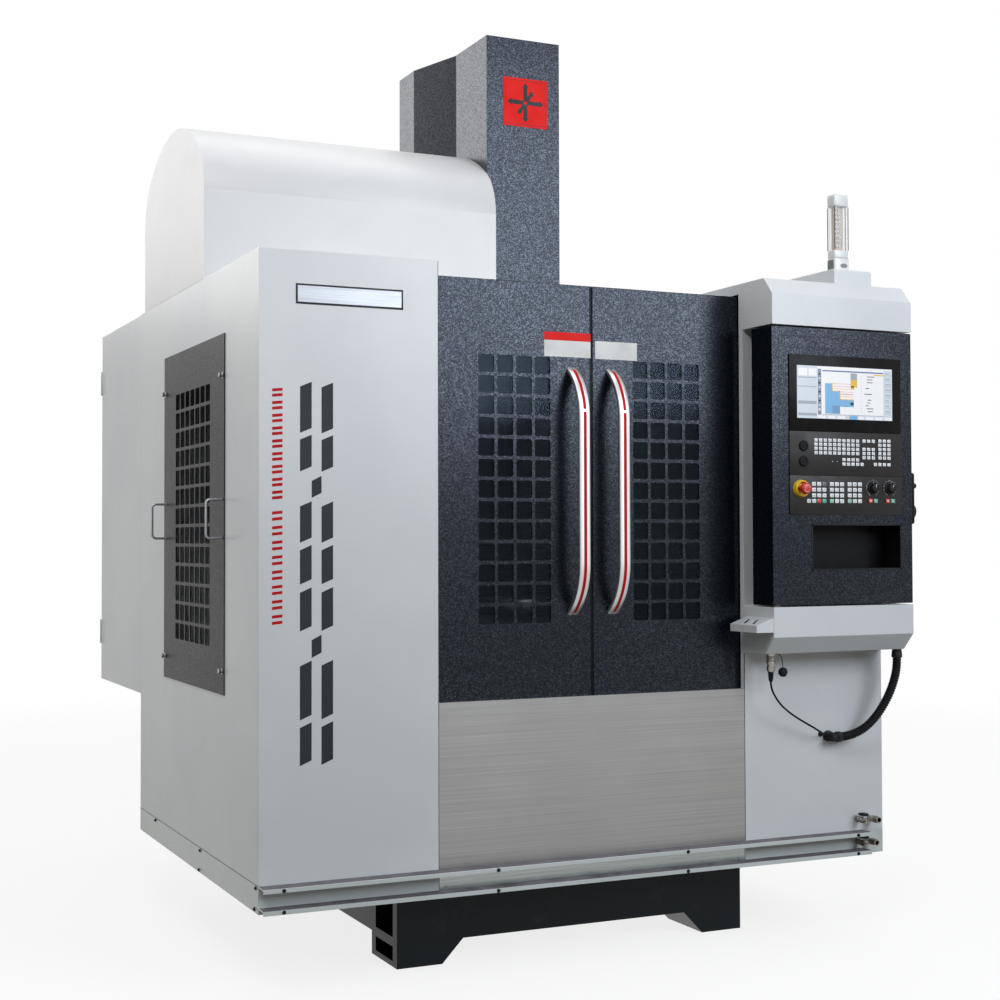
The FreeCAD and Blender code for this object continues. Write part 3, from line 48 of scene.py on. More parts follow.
def placeCamera():
    view = {"place": (-2.2641, -5.0576, 1.2157), "tilt": 91.453, "roll": -0.132, "turn": -24.493,
            "lens": 57.68, "shiftX": 0.0238, "shiftY": -0.0007}
    data = bpy.data.cameras.new("photoCamera")
    data.sensor_width = 36
    data.lens = view["lens"]
    data.shift_x = view["shiftX"]
    data.shift_y = view["shiftY"]
    data.clip_end = 100
    camera = bpy.data.objects.new("photoCamera", data)
    turned = (Matrix.Rotation(math.radians(view["turn"]), 4, "Z")
              @ Matrix.Rotation(math.radians(view["tilt"]), 4, "X")
              @ Matrix.Rotation(math.radians(view["roll"]), 4, "Z"))
    camera.matrix_world = Matrix.Translation(view["place"]) @ turned
    bpy.context.collection.objects.link(camera)
    bpy.context.scene.camera = camera


def areaLight(name, place, aim, size, power, colour=(1, 1, 1)):
    data = bpy.data.lights.new(name, "AREA")
    data.shape = "RECTANGLE"
    data.size, data.size_y = size
    data.energy = power
    data.color = colour
    lamp = bpy.data.objects.new(name, data)
    away = Vector(place) - Vector(aim)
    lamp.matrix_world = Matrix.Translation(place) @ away.to_track_quat("Z", "Y").to_matrix().to_4x4()
    bpy.context.collection.objects.link(lamp)


def studio():
    bpy.context.scene.view_settings.view_transform = "Standard"
    world = bpy.data.worlds.new("paleStudio")
    world.use_nodes = True
    bpy.context.scene.world = world
    nodes, links = world.node_tree.nodes, world.node_tree.links
    fill = nodes["Background"]
    fill.inputs["Color"].default_value = (0.95, 0.97, 1.0, 1)
    fill.inputs["Strength"].default_value = 0.11
    seen = nodes.new("ShaderNodeBackground")
    seen.inputs["Color"].default_value = (1, 1, 1, 1)
    seen.inputs["Strength"].default_value = 1.0
    path = nodes.new("ShaderNodeLightPath")
    eye = mathNode(world.node_tree, "MAXIMUM", path.outputs["Is Camera Ray"], path.outputs["Is Glossy Ray"])
    eye = mathNode(world.node_tree, "MAXIMUM", eye, path.outputs["Is Transmission Ray"])
    blend = nodes.new("ShaderNodeMixShader")
    links.new(eye, blend.inputs["Fac"])
    links.new(fill.outputs[0], blend.inputs[1])
    links.new(seen.outputs[0], blend.inputs[2])
    links.new(blend.outputs[0], nodes["World Output"].inputs["Surface"])
    areaLight("keyPanel", (2.15, -5.3, 3.2), (0.0, -0.9, 2.0), (2.8, 2.5), 172, (0.86, 0.92, 1.0))
    areaLight("frontPanel", (-2.4, -3.3, 4.3), (-0.3, -0.9, 1.7), (2.4, 1.6), 80, (0.98, 0.985, 0.99))
    areaLight("sidePanel", (-5.0, -0.6, 2.5), (-1.0, 0.2, 1.4), (2.6, 2.0), 26)
    areaLight("topPanel", (-0.2, 0.2, 5.6), (0.0, 0.3, 2.0), (4.2, 3.2), 76)
    areaLight("rightPanel", (5.0, 0.6, 3.6), (0.9, 0.3, 1.4), (2.4, 2.2), 46)
    areaLight("backLeftPanel", (-3.2, 4.8, 4.0), (-0.6, 0.6, 1.8), (3.2, 2.6), 75)
    areaLight("backRightPanel", (3.4, 4.0, 3.6), (0.5, 0.8, 1.4), (3.0, 2.4), 70)


def paleFloor():
    # white as the camera and reflections see it, darker for the light that it sends back up
    floorTone = {"size": 40, "near": 0.82, "nearEdge": 2.6, "farEdge": 8.0, "bounce": (0.09, 0.08, 0.06, 1)}
    size = floorTone["size"]
    mesh = bpy.data.meshes.new("floor")
    corners = [(-size, -size, 0), (size, -size, 0), (size, size, 0), (-size, size, 0)]
    mesh.from_pydata(corners, [], [(0, 1, 2, 3)])
    floor = bpy.data.objects.new("floor", mesh)
    bpy.context.collection.objects.link(floor)
    coat = bpy.data.materials.new("floorPaint")
    coat.use_nodes = True
    tree = coat.node_tree
    nodes, links = tree.nodes, tree.links
    shader = nodes["Principled BSDF"]
    shader.inputs["Roughness"].default_value = 0.7
    shader.inputs["Specular IOR Level"].default_value = 0.2
    path = nodes.new("ShaderNodeLightPath")
    place = nodes.new("ShaderNodeNewGeometry").outputs["Position"]
    tone = mixColours(tree, noiseNode(tree, place, 1.6), (0.93, 0.93, 0.93, 1), (0.97, 0.97, 0.97, 1))
    links.new(mixColours(tree, path.outputs["Is Camera Ray"], floorTone["bounce"], tone),
              shader.inputs["Base Color"])
    white = nodes.new("ShaderNodeEmission")
    white.inputs["Strength"].default_value = 1.0
    away = nodes.new("ShaderNodeVectorMath")
    away.operation = "LENGTH"
    links.new(place, away.inputs[0])
    share = rangeNode(tree, away.outputs["Value"], floorTone["nearEdge"], floorTone["farEdge"],
                      floorTone["near"], 1.0)
    seen = mathNode(tree, "MAXIMUM", path.outputs["Is Camera Ray"], path.outputs["Is Glossy Ray"])
    seen = mathNode(tree, "MAXIMUM", seen, path.outputs["Is Transmission Ray"])
    blend = nodes.new("ShaderNodeMixShader")
    links.new(mathNode(tree, "MULTIPLY", seen, share), blend.inputs["Fac"])
    links.new(shader.outputs[0], blend.inputs[1])
    links.new(white.outputs[0], blend.inputs[2])
    links.new(blend.outputs[0], nodes["Material Output"].inputs["Surface"])
    mesh.materials.append(coat)


# Effects shared by the materials, each a group of nodes

def newGroup(name, takes, gives):
    group = bpy.data.node_groups.new(name, "ShaderNodeTree")
    for label, kind, value in takes:
        socket = group.interface.new_socket(label, in_out="INPUT", socket_type=kind)
        socket.default_value = value
    for label, kind in gives:
        group.interface.new_socket(label, in_out="OUTPUT", socket_type=kind)
    return group, group.nodes.new("NodeGroupInput"), group.nodes.new("NodeGroupOutput")


def noiseNode(tree, vector, scale, detail=3.0, rough=0.55):
    noise = tree.nodes.new("ShaderNodeTexNoise")
    noise.inputs["Detail"].default_value = detail
    noise.inputs["Roughness"].default_value = rough
    tree.links.new(vector, noise.inputs["Vector"])
    if isinstance(scale, (int, float)):
        noise.inputs["Scale"].default_value = scale
    else:
        tree.links.new(scale, noise.inputs["Scale"])
    return noise.outputs["Fac"]


def rangeNode(tree, value, low, high, toLow, toHigh):
    spread = tree.nodes.new("ShaderNodeMapRange")
    spread.interpolation_type = "SMOOTHSTEP"
    tree.links.new(value, spread.inputs["Value"])
    for label, given in (("From Min", low), ("From Max", high), ("To Min", toLow), ("To Max", toHigh)):
        if isinstance(given, (int, float)):
            spread.inputs[label].default_value = given
        else:
            tree.links.new(given, spread.inputs[label])
    return spread.outputs["Result"]


def mixColours(tree, factor, first, second):
    blend = tree.nodes.new("ShaderNodeMix")
    blend.data_type = "RGBA"
    for label, given in (("Factor", factor), ("A", first), ("B", second)):
        if isinstance(given, (int, float, tuple)):
            blend.inputs[label].default_value = given
        else:
            tree.links.new(given, blend.inputs[label])
    return blend.outputs["Result"]


def mathNode(tree, operation, *values):
    node = tree.nodes.new("ShaderNodeMath")
    node.operation = operation
    for slotIndex, given in enumerate(values):
        if isinstance(given, (int, float)):
            node.inputs[slotIndex].default_value = given
        else:
            tree.links.new(given, node.inputs[slotIndex])
    return node.outputs[0]


def buildSprayedPaint():
    # smooth sprayed coat: slow change of tone, faint dust, and the dimples of orange peel
    group, given, out = newGroup("sprayedPaint", [
        ("Colour", "NodeSocketColor", (0.7, 0.7, 0.7, 1)), ("Shade", "NodeSocketColor", (0.6, 0.6, 0.6, 1)),
        ("Dust", "NodeSocketFloat", 0.1), ("Gloss", "NodeSocketFloat", 0.35)],
        [("Colour", "NodeSocketColor"), ("Roughness", "NodeSocketFloat"), ("Height", "NodeSocketFloat")])
    place = group.nodes.new("ShaderNodeTexCoord").outputs["Object"]
    cloud = noiseNode(group, place, 1.7, 4)
    tone = mixColours(group, rangeNode(group, cloud, 0.35, 0.7, 0.0, 1.0), given.outputs["Colour"],
                      given.outputs["Shade"])
    smear = rangeNode(group, noiseNode(group, place, 9.0, 6, 0.7), 0.52, 0.74, 0.0, given.outputs["Dust"])
    dusty = mixColours(group, smear, tone, (0.42, 0.40, 0.37, 1))
    group.links.new(dusty, out.inputs["Colour"])
    rougher = mathNode(group, "MULTIPLY", smear, 0.8)
    group.links.new(mathNode(group, "ADD", given.outputs["Gloss"], rougher), out.inputs["Roughness"])
    group.links.new(noiseNode(group, place, 260.0, 2), out.inputs["Height"])
    return group


def buildFleckedPaint():
    # textured dark coat: small domes that each catch the light by their own amount
    group, given, out = newGroup("fleckedPaint", [
        ("Ground", "NodeSocketColor", (0.03, 0.03, 0.04, 1)),
        ("Fleck", "NodeSocketColor", (0.1, 0.1, 0.12, 1)),
        ("Grain Scale", "NodeSocketFloat", 420.0), ("Gloss", "NodeSocketFloat", 0.4),
        ("Dull", "NodeSocketFloat", 0.2), ("Bright", "NodeSocketFloat", 0.4)],
        [("Colour", "NodeSocketColor"), ("Roughness", "NodeSocketFloat"), ("Height", "NodeSocketFloat"),
         ("Shine", "NodeSocketFloat")])
    place = group.nodes.new("ShaderNodeTexCoord").outputs["Object"]
    cells = group.nodes.new("ShaderNodeTexVoronoi")
    group.links.new(place, cells.inputs["Vector"])
    group.links.new(given.outputs["Grain Scale"], cells.inputs["Scale"])
    parts = group.nodes.new("ShaderNodeSeparateColor")
    group.links.new(cells.outputs["Color"], parts.inputs["Color"])
    fleck = mathNode(group, "POWER", parts.outputs["Red"], 2.0)
    cloud = noiseNode(group, place, 2.4, 4)
    strength = mathNode(group, "MULTIPLY", fleck, rangeNode(group, cloud, 0.3, 0.7, 0.75, 1.0))
    group.links.new(mixColours(group, strength, given.outputs["Ground"], given.outputs["Fleck"]),
                    out.inputs["Colour"])
    group.links.new(rangeNode(group, strength, 0.0, 1.0, given.outputs["Dull"], given.outputs["Bright"]),
                    out.inputs["Shine"])
    sheen = mathNode(group, "MULTIPLY", fleck, -0.05)
    group.links.new(mathNode(group, "ADD", given.outputs["Gloss"], sheen), out.inputs["Roughness"])
    group.links.new(cells.outputs["Distance"], out.inputs["Height"])
    return group


def buildBrushedGrain():
    # fine scratches along one direction, as a rolled or brushed sheet has
    group, given, out = newGroup("brushedGrain", [
        ("Stretch", "NodeSocketVector", (6.0, 6.0, 900.0)), ("Colour", "NodeSocketColor", (0.6, 0.6, 0.6, 1)),
        ("Shade", "NodeSocketColor", (0.45, 0.45, 0.45, 1)), ("Gloss", "NodeSocketFloat", 0.3)],
        [("Colour", "NodeSocketColor"), ("Roughness", "NodeSocketFloat"), ("Height", "NodeSocketFloat")])
    place = group.nodes.new("ShaderNodeTexCoord").outputs["Object"]
    scaled = group.nodes.new("ShaderNodeVectorMath")
    scaled.operation = "MULTIPLY"
    group.links.new(place, scaled.inputs[0])
    group.links.new(given.outputs["Stretch"], scaled.inputs[1])
    lines = noiseNode(group, scaled.outputs[0], 1.0, 4, 0.7)
    cloud = noiseNode(group, place, 3.0)
    group.links.new(mixColours(group, rangeNode(group, lines, 0.3, 0.7, 0.0, 1.0), given.outputs["Colour"],
                               given.outputs["Shade"]), out.inputs["Colour"])
    scatter = mathNode(group, "ADD", rangeNode(group, lines, 0.3, 0.7, -0.05, 0.08),
                       rangeNode(group, cloud, 0.3, 0.7, -0.03, 0.05))
    group.links.new(mathNode(group, "ADD", given.outputs["Gloss"], scatter), out.inputs["Roughness"])
    group.links.new(lines, out.inputs["Height"])
    return group


def buildMouldedGrain():
    # leather-fine grain of moulded plastic and rubber, with worn shine in places
    group, given, out = newGroup("mouldedGrain", [
        ("Colour", "NodeSocketColor", (0.05, 0.05, 0.05, 1)),
        ("Shade", "NodeSocketColor", (0.03, 0.03, 0.03, 1)),
        ("Grain Scale", "NodeSocketFloat", 900.0), ("Gloss", "NodeSocketFloat", 0.5)],
        [("Colour", "NodeSocketColor"), ("Roughness", "NodeSocketFloat"), ("Height", "NodeSocketFloat")])
    place = group.nodes.new("ShaderNodeTexCoord").outputs["Object"]
    cells = group.nodes.new("ShaderNodeTexVoronoi")
    group.links.new(place, cells.inputs["Vector"])
    group.links.new(given.outputs["Grain Scale"], cells.inputs["Scale"])
    cloud = noiseNode(group, place, 14.0, 5, 0.65)
    group.links.new(mixColours(group, rangeNode(group, cloud, 0.4, 0.7, 0.0, 1.0), given.outputs["Colour"],
                               given.outputs["Shade"]), out.inputs["Colour"])
    group.links.new(mathNode(group, "ADD", given.outputs["Gloss"],
                             rangeNode(group, cloud, 0.35, 0.7, -0.07, 0.08)), out.inputs["Roughness"])
    group.links.new(cells.outputs["Distance"], out.inputs["Height"])
    return group


effects = {"sprayedPaint": buildSprayedPaint(), "fleckedPaint": buildFleckedPaint(),
           "brushedGrain": buildBrushedGrain(), "mouldedGrain": buildMouldedGrain()}


def finishMaterial(name, effect, values, bump, metallic=0.0, **shaderValues):
    # one Principled shader fed by an effect group; values are for the group, the rest for the shader itself
    material = bpy.data.materials.new(name)
    material.use_nodes = True
    tree = material.node_tree
    shader = tree.nodes["Principled BSDF"]
    shader.inputs["Metallic"].default_value = metallic
    for label, value in shaderValues.items():
        shader.inputs[label.replace("_", " ")].default_value = value
    group = tree.nodes.new("ShaderNodeGroup")
    group.node_tree = effects[effect]
    for label, value in values.items():
        group.inputs[label].default_value = value
    tree.links.new(group.outputs["Colour"], shader.inputs["Base Color"])
    tree.links.new(group.outputs["Roughness"], shader.inputs["Roughness"])
    if "Shine" in group.outputs:
        tree.links.new(group.outputs["Shine"], shader.inputs["Specular IOR Level"])
    strength, depth = bump
    relief = tree.nodes.new("ShaderNodeBump")
    relief.inputs["Strength"].default_value = strength
    relief.inputs["Distance"].default_value = depth
    tree.links.new(group.outputs["Height"], relief.inputs["Height"])
    tree.links.new(relief.outputs["Normal"], shader.inputs["Normal"])
    return material


def sprayed(name, colour, shade, gloss=0.35, dust=0.06, bump=(0.12, 0.0004), **more):
    return finishMaterial(name, "sprayedPaint", {"Colour": (*colour, 1), "Shade": (*shade, 1), "Gloss": gloss,
                                                 "Dust": dust}, bump, **more)


def moulded(name, colour, shade, gloss=0.5, grain=900.0, bump=(0.15, 0.0002), **more):
    return finishMaterial(name, "mouldedGrain", {"Colour": (*colour, 1), "Shade": (*shade, 1), "Gloss": gloss,
                                                 "Grain Scale": grain}, bump, **more)


def brushed(name, colour, shade, gloss, stretch, bump=(0.1, 0.0001)):
    return finishMaterial(name, "brushedGrain", {"Colour": (*colour, 1), "Shade": (*shade, 1), "Gloss": gloss,
                                                 "Stretch": stretch}, bump, metallic=1.0)


paint = {
    "housing": sprayed("housingPaint", (0.66, 0.68, 0.69), (0.60, 0.62, 0.64), 0.33, 0.05),
    "hood": sprayed("hoodPaint", (0.67, 0.67, 0.668), (0.62, 0.62, 0.625), 0.38, 0.04),
    "ledge": sprayed("ledgePaint", (0.60, 0.64, 0.63), (0.53, 0.57, 0.55), 0.26),
    "dark": finishMaterial("fleckedDarkPaint", "fleckedPaint",
                           {"Ground": (0.001, 0.002, 0.003, 1), "Fleck": (0.005, 0.007, 0.011, 1),
                            "Gloss": 0.28, "Grain Scale": 360.0, "Dull": 0.20, "Bright": 0.66}, (0.3, 0.0003),
                           Specular_Tint=(0.74, 0.82, 1.0, 1)),
    "fineDark": finishMaterial("satinDarkPaint", "fleckedPaint",
                               {"Ground": (0.013, 0.0115, 0.012, 1), "Fleck": (0.022, 0.019, 0.020, 1),
                                "Gloss": 0.36, "Grain Scale": 420.0, "Dull": 0.05, "Bright": 0.15},
                               (0.4, 0.0003)),
    "base": sprayed("baseEnamel", (0.004, 0.007, 0.009), (0.006, 0.010, 0.013), 0.30, 0.04, (0.25, 0.0008),
                    Specular_IOR_Level=0.16),
    "castGrey": sprayed("castingPaint", (0.30, 0.33, 0.34), (0.25, 0.28, 0.29), 0.4, 0.1, (0.3, 0.001)),
    "black": moulded("blackSatin", (0.010, 0.010, 0.012), (0.016, 0.016, 0.018), 0.45, 700.0,
                     Specular_IOR_Level=0.14),
    "sheet": brushed("brushedSheet", (0.30, 0.297, 0.293), (0.215, 0.212, 0.208), 0.38, (1.0, 1.0, 420.0)),
    "strip": brushed("polishedStrip", (0.38, 0.41, 0.40), (0.26, 0.29, 0.28), 0.22, (3.0, 3.0, 900.0)),
    "machined": brushed("machinedSteel", (0.56, 0.57, 0.58), (0.46, 0.47, 0.48), 0.30, (300.0, 300.0, 300.0)),
    "badge": brushed("badgePlate", (0.30, 0.31, 0.33), (0.22, 0.23, 0.25), 0.34, (3.0, 3.0, 900.0)),
    "satin": brushed("satinAluminium", (0.64, 0.64, 0.645), (0.54, 0.54, 0.545), 0.34, (700.0, 700.0, 8.0)),
    "nickel": brushed("nickelPlate", (0.36, 0.34, 0.31), (0.22, 0.205, 0.185), 0.28, (120.0, 120.0, 120.0)),
    "panel": moulded("panelFoil", (0.014, 0.0125, 0.0125), (0.018, 0.0165, 0.016), 0.42, 1500.0,
                     (0.08, 0.0001), Specular_IOR_Level=0.2),
    "bezel": moulded("bezelFoil", (0.006, 0.0055, 0.006), (0.008, 0.0075, 0.008), 0.3, 1500.0, (0.03, 0.0001),
                     Specular_IOR_Level=0.07),
    "rubber": moulded("blackRubber", (0.004, 0.004, 0.005), (0.008, 0.008, 0.009), 0.45, 500.0,
                      Specular_IOR_Level=0.1),
    "keyWhite": moulded("keyCaps", (0.80, 0.81, 0.82), (0.74, 0.75, 0.76), 0.4, 1200.0, (0.05, 0.0001)),
    "keyGrey": moulded("greyKeyCaps", (0.17, 0.18, 0.18), (0.14, 0.15, 0.15), 0.45, 1200.0, (0.05, 0.0001)),
    "ink": moulded("printedInk", (0.010, 0.013, 0.017), (0.014, 0.017, 0.021), 0.5, 1200.0, (0.02, 0.0001),
                   Specular_IOR_Level=0.25),
    "whiteInk": moulded("whiteInk", (0.72, 0.72, 0.72), (0.68, 0.68, 0.68), 0.5, 1200.0, (0.02, 0.0001)),
    "red": moulded("redPlastic", (0.62, 0.018, 0.015), (0.52, 0.014, 0.012), 0.3, 900.0, (0.04, 0.0001)),
    "stripeRed": moulded("stripeRed", (0.52, 0.008, 0.012), (0.46, 0.007, 0.010), 0.45, 900.0, (0.03, 0.0001),
                         Specular_IOR_Level=0.1),
    "plateRed": moulded("plateRed", (0.80, 0.024, 0.020), (0.74, 0.020, 0.017), 0.5, 900.0, (0.03, 0.0001),
                        Specular_IOR_Level=0.06),
    "yellow": moulded("yellowPlastic", (0.80, 0.48, 0.015), (0.72, 0.42, 0.012), 0.38, 900.0, (0.04, 0.0001)),
    "keyRed": moulded("redKeyCap", (0.60, 0.06, 0.05), (0.52, 0.05, 0.04), 0.38, 900.0, (0.04, 0.0001)),
    "keyGreen": moulded("greenKeyCap", (0.10, 0.42, 0.30), (0.08, 0.36, 0.25), 0.38, 900.0, (0.04, 0.0001)),
    "keyMint": moulded("mintKeyCap", (0.34, 0.58, 0.46), (0.30, 0.52, 0.41), 0.4, 1200.0, (0.05, 0.0001)),
    # painted shade laid over the ledge tops, dark grey-purple
    "ledgeShade": moulded("ledgeShadePaint", (0.115, 0.105, 0.120), (0.085, 0.080, 0.090), 0.6, 260.0, (0.3, 0.0006)),
    "labelWhite": moulded("labelWhite", (0.62, 0.62, 0.60), (0.57, 0.57, 0.55), 0.42, 900.0, (0.03, 0.0001)),
    "lampShell": moulded("lampShell", (0.74, 0.75, 0.74), (0.68, 0.69, 0.68), 0.3, 900.0, (0.04, 0.0001)),
    "lampStrip": moulded("lampCore", (0.62, 0.50, 0.40), (0.56, 0.44, 0.34), 0.4, 900.0, (0.04, 0.0001)),
}


def glassMaterial(name, colour, roughness, alpha, shine):
    material = bpy.data.materials.new(name)
    material.use_nodes = True
    tree = material.node_tree
    shader = tree.nodes["Principled BSDF"]
    shader.inputs["Base Color"].default_value = (*colour, 1)
    shader.inputs["Alpha"].default_value = alpha
    shader.inputs["IOR"].default_value = 1.5
    shader.inputs["Specular IOR Level"].default_value = shine
    shader.inputs["Specular Tint"].default_value = (0.55, 0.74, 1.0, 1)
    smear = noiseNode(tree, tree.nodes.new("ShaderNodeTexCoord").outputs["Object"], 11.0, 5, 0.65)
    tree.links.new(rangeNode(tree, smear, 0.4, 0.7, roughness, roughness + 0.09), shader.inputs["Roughness"])
    return material


paint["glass"] = glassMaterial("smokedGlass", (0.006, 0.008, 0.010), 0.06, 0.45, 0.17)
paint["clear"] = glassMaterial("clearSleeve", (0.80, 0.83, 0.84), 0.06, 0.22, 0.5)


def glowMaterial(name, colour, strength):
    material = bpy.data.materials.new(name)
    material.use_nodes = True
    tree = material.node_tree
    shader = tree.nodes["Principled BSDF"]
    shader.inputs["Base Color"].default_value = (0.02, 0.02, 0.02, 1)
    shader.inputs["Roughness"].default_value = 0.25
    shader.inputs["Emission Strength"].default_value = strength
    soft = noiseNode(tree, tree.nodes.new("ShaderNodeTexCoord").outputs["Object"], 30.0, 2)
    dim = tuple(0.93 * part for part in colour)
    tree.links.new(mixColours(tree, soft, (*colour, 1), (*dim, 1)), shader.inputs["Emission Color"])
    return material


screenTones = {"white": (0.86, 0.88, 0.92), "pale": (0.58, 0.66, 0.76), "mid": (0.30, 0.34, 0.40),
               "steel": (0.17, 0.21, 0.30), "blue": (0.13, 0.40, 0.74), "sea": (0.09, 0.26, 0.52),
               "navy": (0.03, 0.09, 0.36), "amber": (0.82, 0.46, 0.04), "rose": (0.80, 0.42, 0.40)}
for tone, colour in screenTones.items():
    paint[tone] = glowMaterial("screen" + tone.capitalize(), colour, 0.9)
print("materials ready")


# Mesh helpers: each adds geometry to a bmesh, in millimetres on the machine

def slab(bm, x0, x1, y0, y1, z0, z1, bevel=0.0, segments=2, material=0):
    before = set(bm.faces)
    made = bmesh.ops.create_cube(bm, size=1.0)["verts"]
    low, high = Vector((x0, y0, z0)), Vector((x1, y1, z1))
    for vert in made:
        share = vert.co + Vector((0.5, 0.5, 0.5))
        vert.co = Vector([low[i] + share[i] * (high[i] - low[i]) for i in range(3)])
    if bevel:
        edges = {edge for vert in made for edge in vert.link_edges}
        bmesh.ops.bevel(bm, geom=list(edges), offset=bevel, segments=segments, profile=0.5, affect="EDGES")
    for face in bm.faces:
        if face not in before:
            face.material_index = material


def border(bm, x0, x1, y0, y1, z0, z1, width, bevel=0.0, segments=2, material=0):
    # four bars along the edges of an upright rectangle
    for a, b, c, d in ((x0, x0 + width, z0, z1), (x1 - width, x1, z0, z1), (x0, x1, z0, z0 + width),
                       (x0, x1, z1 - width, z1)):
        slab(bm, a, b, y0, y1, c, d, bevel, segments, material)


def skin(bm, rings, material=0):
    # walls from ring to ring of points, and a cap on each end; a ring of one point is a tip
    rings = [[bm.verts.new(point) for point in ring] for ring in rings]
    sides = max(len(ring) for ring in rings)
    faces = []
    for low, high in zip(rings, rings[1:]):
        for i in range(sides):
            j = (i + 1) % sides
            faces.append([low[i % len(low)], low[j % len(low)], high[j % len(high)], high[i % len(high)]])
    for corners in faces + [rings[0][::-1], rings[-1]]:
        corners = list(dict.fromkeys(corners))
        if len(corners) > 2:
            bm.faces.new(corners).material_index = material


def circle(sides):
    # cosine and sine at even steps of a full turn
    return [(math.cos(a), math.sin(a)) for a in (2 * math.pi * i / sides for i in range(sides))]


def lathe(bm, base, axis, profile, sides=32, material=0):
    # profile: (distance along the axis, radius), from one end to the other
    turn = Vector(axis).to_track_quat("Z", "Y")
    skin(bm, [[Vector(base) + turn @ Vector((radius * c, radius * s, along)) for c,
               s in (circle(sides) if radius > 0.001 else [(0, 0)])] for along, radius in profile], material)


def tubeAlong(bm, points, radii, sides=16, material=0):
    # round bar or hose through points, with its own radius at each
    points = [Vector(p) for p in points]
    tangents = [(ahead - behind).normalized()
                for behind, ahead in zip(points[:1] + points, points[1:] + points[-1:])]
    normal = tangents[0].orthogonal().normalized()
    rings = []
    for point, tangent, radius in zip(points, tangents, radii):
        normal = (normal - tangent * normal.dot(tangent)).normalized()
        side = tangent.cross(normal)
        rings.append([point + radius * (c * normal + s * side) for c, s in circle(sides)])
    skin(bm, rings, material)


def prismPlate(bm, outline, push, material=0):
    # closed outline of points pushed along one vector
    skin(bm, [[Vector(p) for p in outline], [Vector(p) + Vector(push) for p in outline]], material)


def roundedLoop(width, height, radius, steps):
    # points round a rectangle about its middle, starting in the upper right corner
    points = []
    for cornerX, cornerY, start in ((1, 1, 0), (-1, 1, 90), (-1, -1, 180), (1, -1, 270)):
        for i in range(steps + 1):
            angle = math.radians(start + 90 * i / steps)
            points.append((cornerX * (width / 2 - radius) + radius * math.cos(angle),
                           cornerY * (height / 2 - radius) + radius * math.sin(angle)))
    return points


def addPiece(name, bm, materials, body, replaced=(), smooth=40):
    bmesh.ops.transform(bm, matrix=Matrix.Scale(mm, 4) @ Matrix.Translation(-originShift), verts=bm.verts)
    bmesh.ops.recalc_face_normals(bm, faces=bm.faces)
    mesh = bpy.data.meshes.new(name)
    bm.to_mesh(mesh)
    bm.free()
    for material in materials:
        mesh.materials.append(paint[material])
    mesh.shade_smooth()
    mesh.set_sharp_from_angle(angle=math.radians(smooth))
    piece = bpy.data.objects.new(name, mesh)
    bpy.context.collection.objects.link(piece)
    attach(piece, body)
    if replaced:
        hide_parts(*replaced)
    return piece


# Loose cords: the route of each is the one its solid follows in the frame

def routeSpline(name, points):
    curve = bpy.data.curves.new(name, "CURVE")
    curve.dimensions = "3D"
    curve.resolution_u = 10
    spline = curve.splines.new("NURBS")
    spline.points.add(len(points) - 1)
    for target, point in zip(spline.points, points):
        target.co = (*point, 1)
    spline.order_u = 3
    spline.use_endpoint_u = True
    return curve


def pathPoints(curve):
    probe = bpy.data.objects.new("routeProbe", curve)
    bpy.context.collection.objects.link(probe)
    mesh = bpy.data.meshes.new_from_object(probe)
    points = [v.co.copy() for v in mesh.vertices]
    bpy.data.objects.remove(probe)
    bpy.data.meshes.remove(mesh)
    return points


def evenPoints(points, step):
    # the same path with a point at every step of its length
    spaced, rest = [points[0]], step
    for a, b in zip(points, points[1:]):
        length = (b - a).length
        while length >= rest:
            a = a + (b - a) * (rest / length)
            length = (b - a).length
            spaced.append(a)
            rest = step
        rest -= length
    return spaced + [points[-1]]


def loomHose():
    hose = {"diameter": 0.028, "ribPitch": 0.008, "ribDepth": 0.0022, "sides": 24,
            "swell": (0.0, 0.22, 0.86, 1.0, 0.86, 0.22)}
    route = [(1.0100, -1.0375, 0.8510), (1.0100, -1.0375, 0.8150), (0.9990, -1.0365, 0.7750),
             (0.9850, -1.0335, 0.7380), (0.9670, -1.0285, 0.7030), (0.9470, -1.0195, 0.6690),
             (0.9240, -1.0065, 0.6380), (0.8970, -0.9905, 0.6150), (0.8630, -0.9785, 0.6020),
             (0.8290, -0.9785, 0.6020)]
    path = pathPoints(routeSpline("hoseRoute", route))
    swell = hose["swell"]
    spaced = evenPoints(path, hose["ribPitch"] / len(swell))
    radius = hose["diameter"] / 2
    radii = [radius - hose["ribDepth"] * (1 - swell[i % len(swell)]) for i in range(len(spaced))]
    bm = bmesh.new()
    places = [point / mm + originShift for point in spaced]
    tubeAlong(bm, places, [r / mm for r in radii], hose["sides"])
    piece = addPiece("ribbedHose", bm, ["rubber"], "machine", ["panel_conduit"], 60)


def serviceCable():
    cable = {"diameter": 0.006}
    route = [(0.5410, -1.0325, 0.7860), (0.5410, -1.0325, 0.7740), (0.5550, -1.0295, 0.7460),
             (0.5840, -1.0235, 0.7140), (0.6270, -1.0155, 0.6850), (0.6750, -1.0065, 0.6600),
             (0.7230, -0.9955, 0.6380), (0.7610, -0.9845, 0.6190), (0.7870, -0.9665, 0.6090),
             (0.7870, -0.9495, 0.6090)]
    curve = routeSpline("serviceLead", route)
    path = pathPoints(curve)
    curve.bevel_depth = cable["diameter"] / 2
    curve.bevel_resolution = 4
    curve.use_fill_caps = True
    curve.materials.append(paint["rubber"])
    lead = bpy.data.objects.new("serviceLead", curve)
    bpy.context.collection.objects.link(lead)
    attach(lead, "machine")
    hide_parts("service_cable")


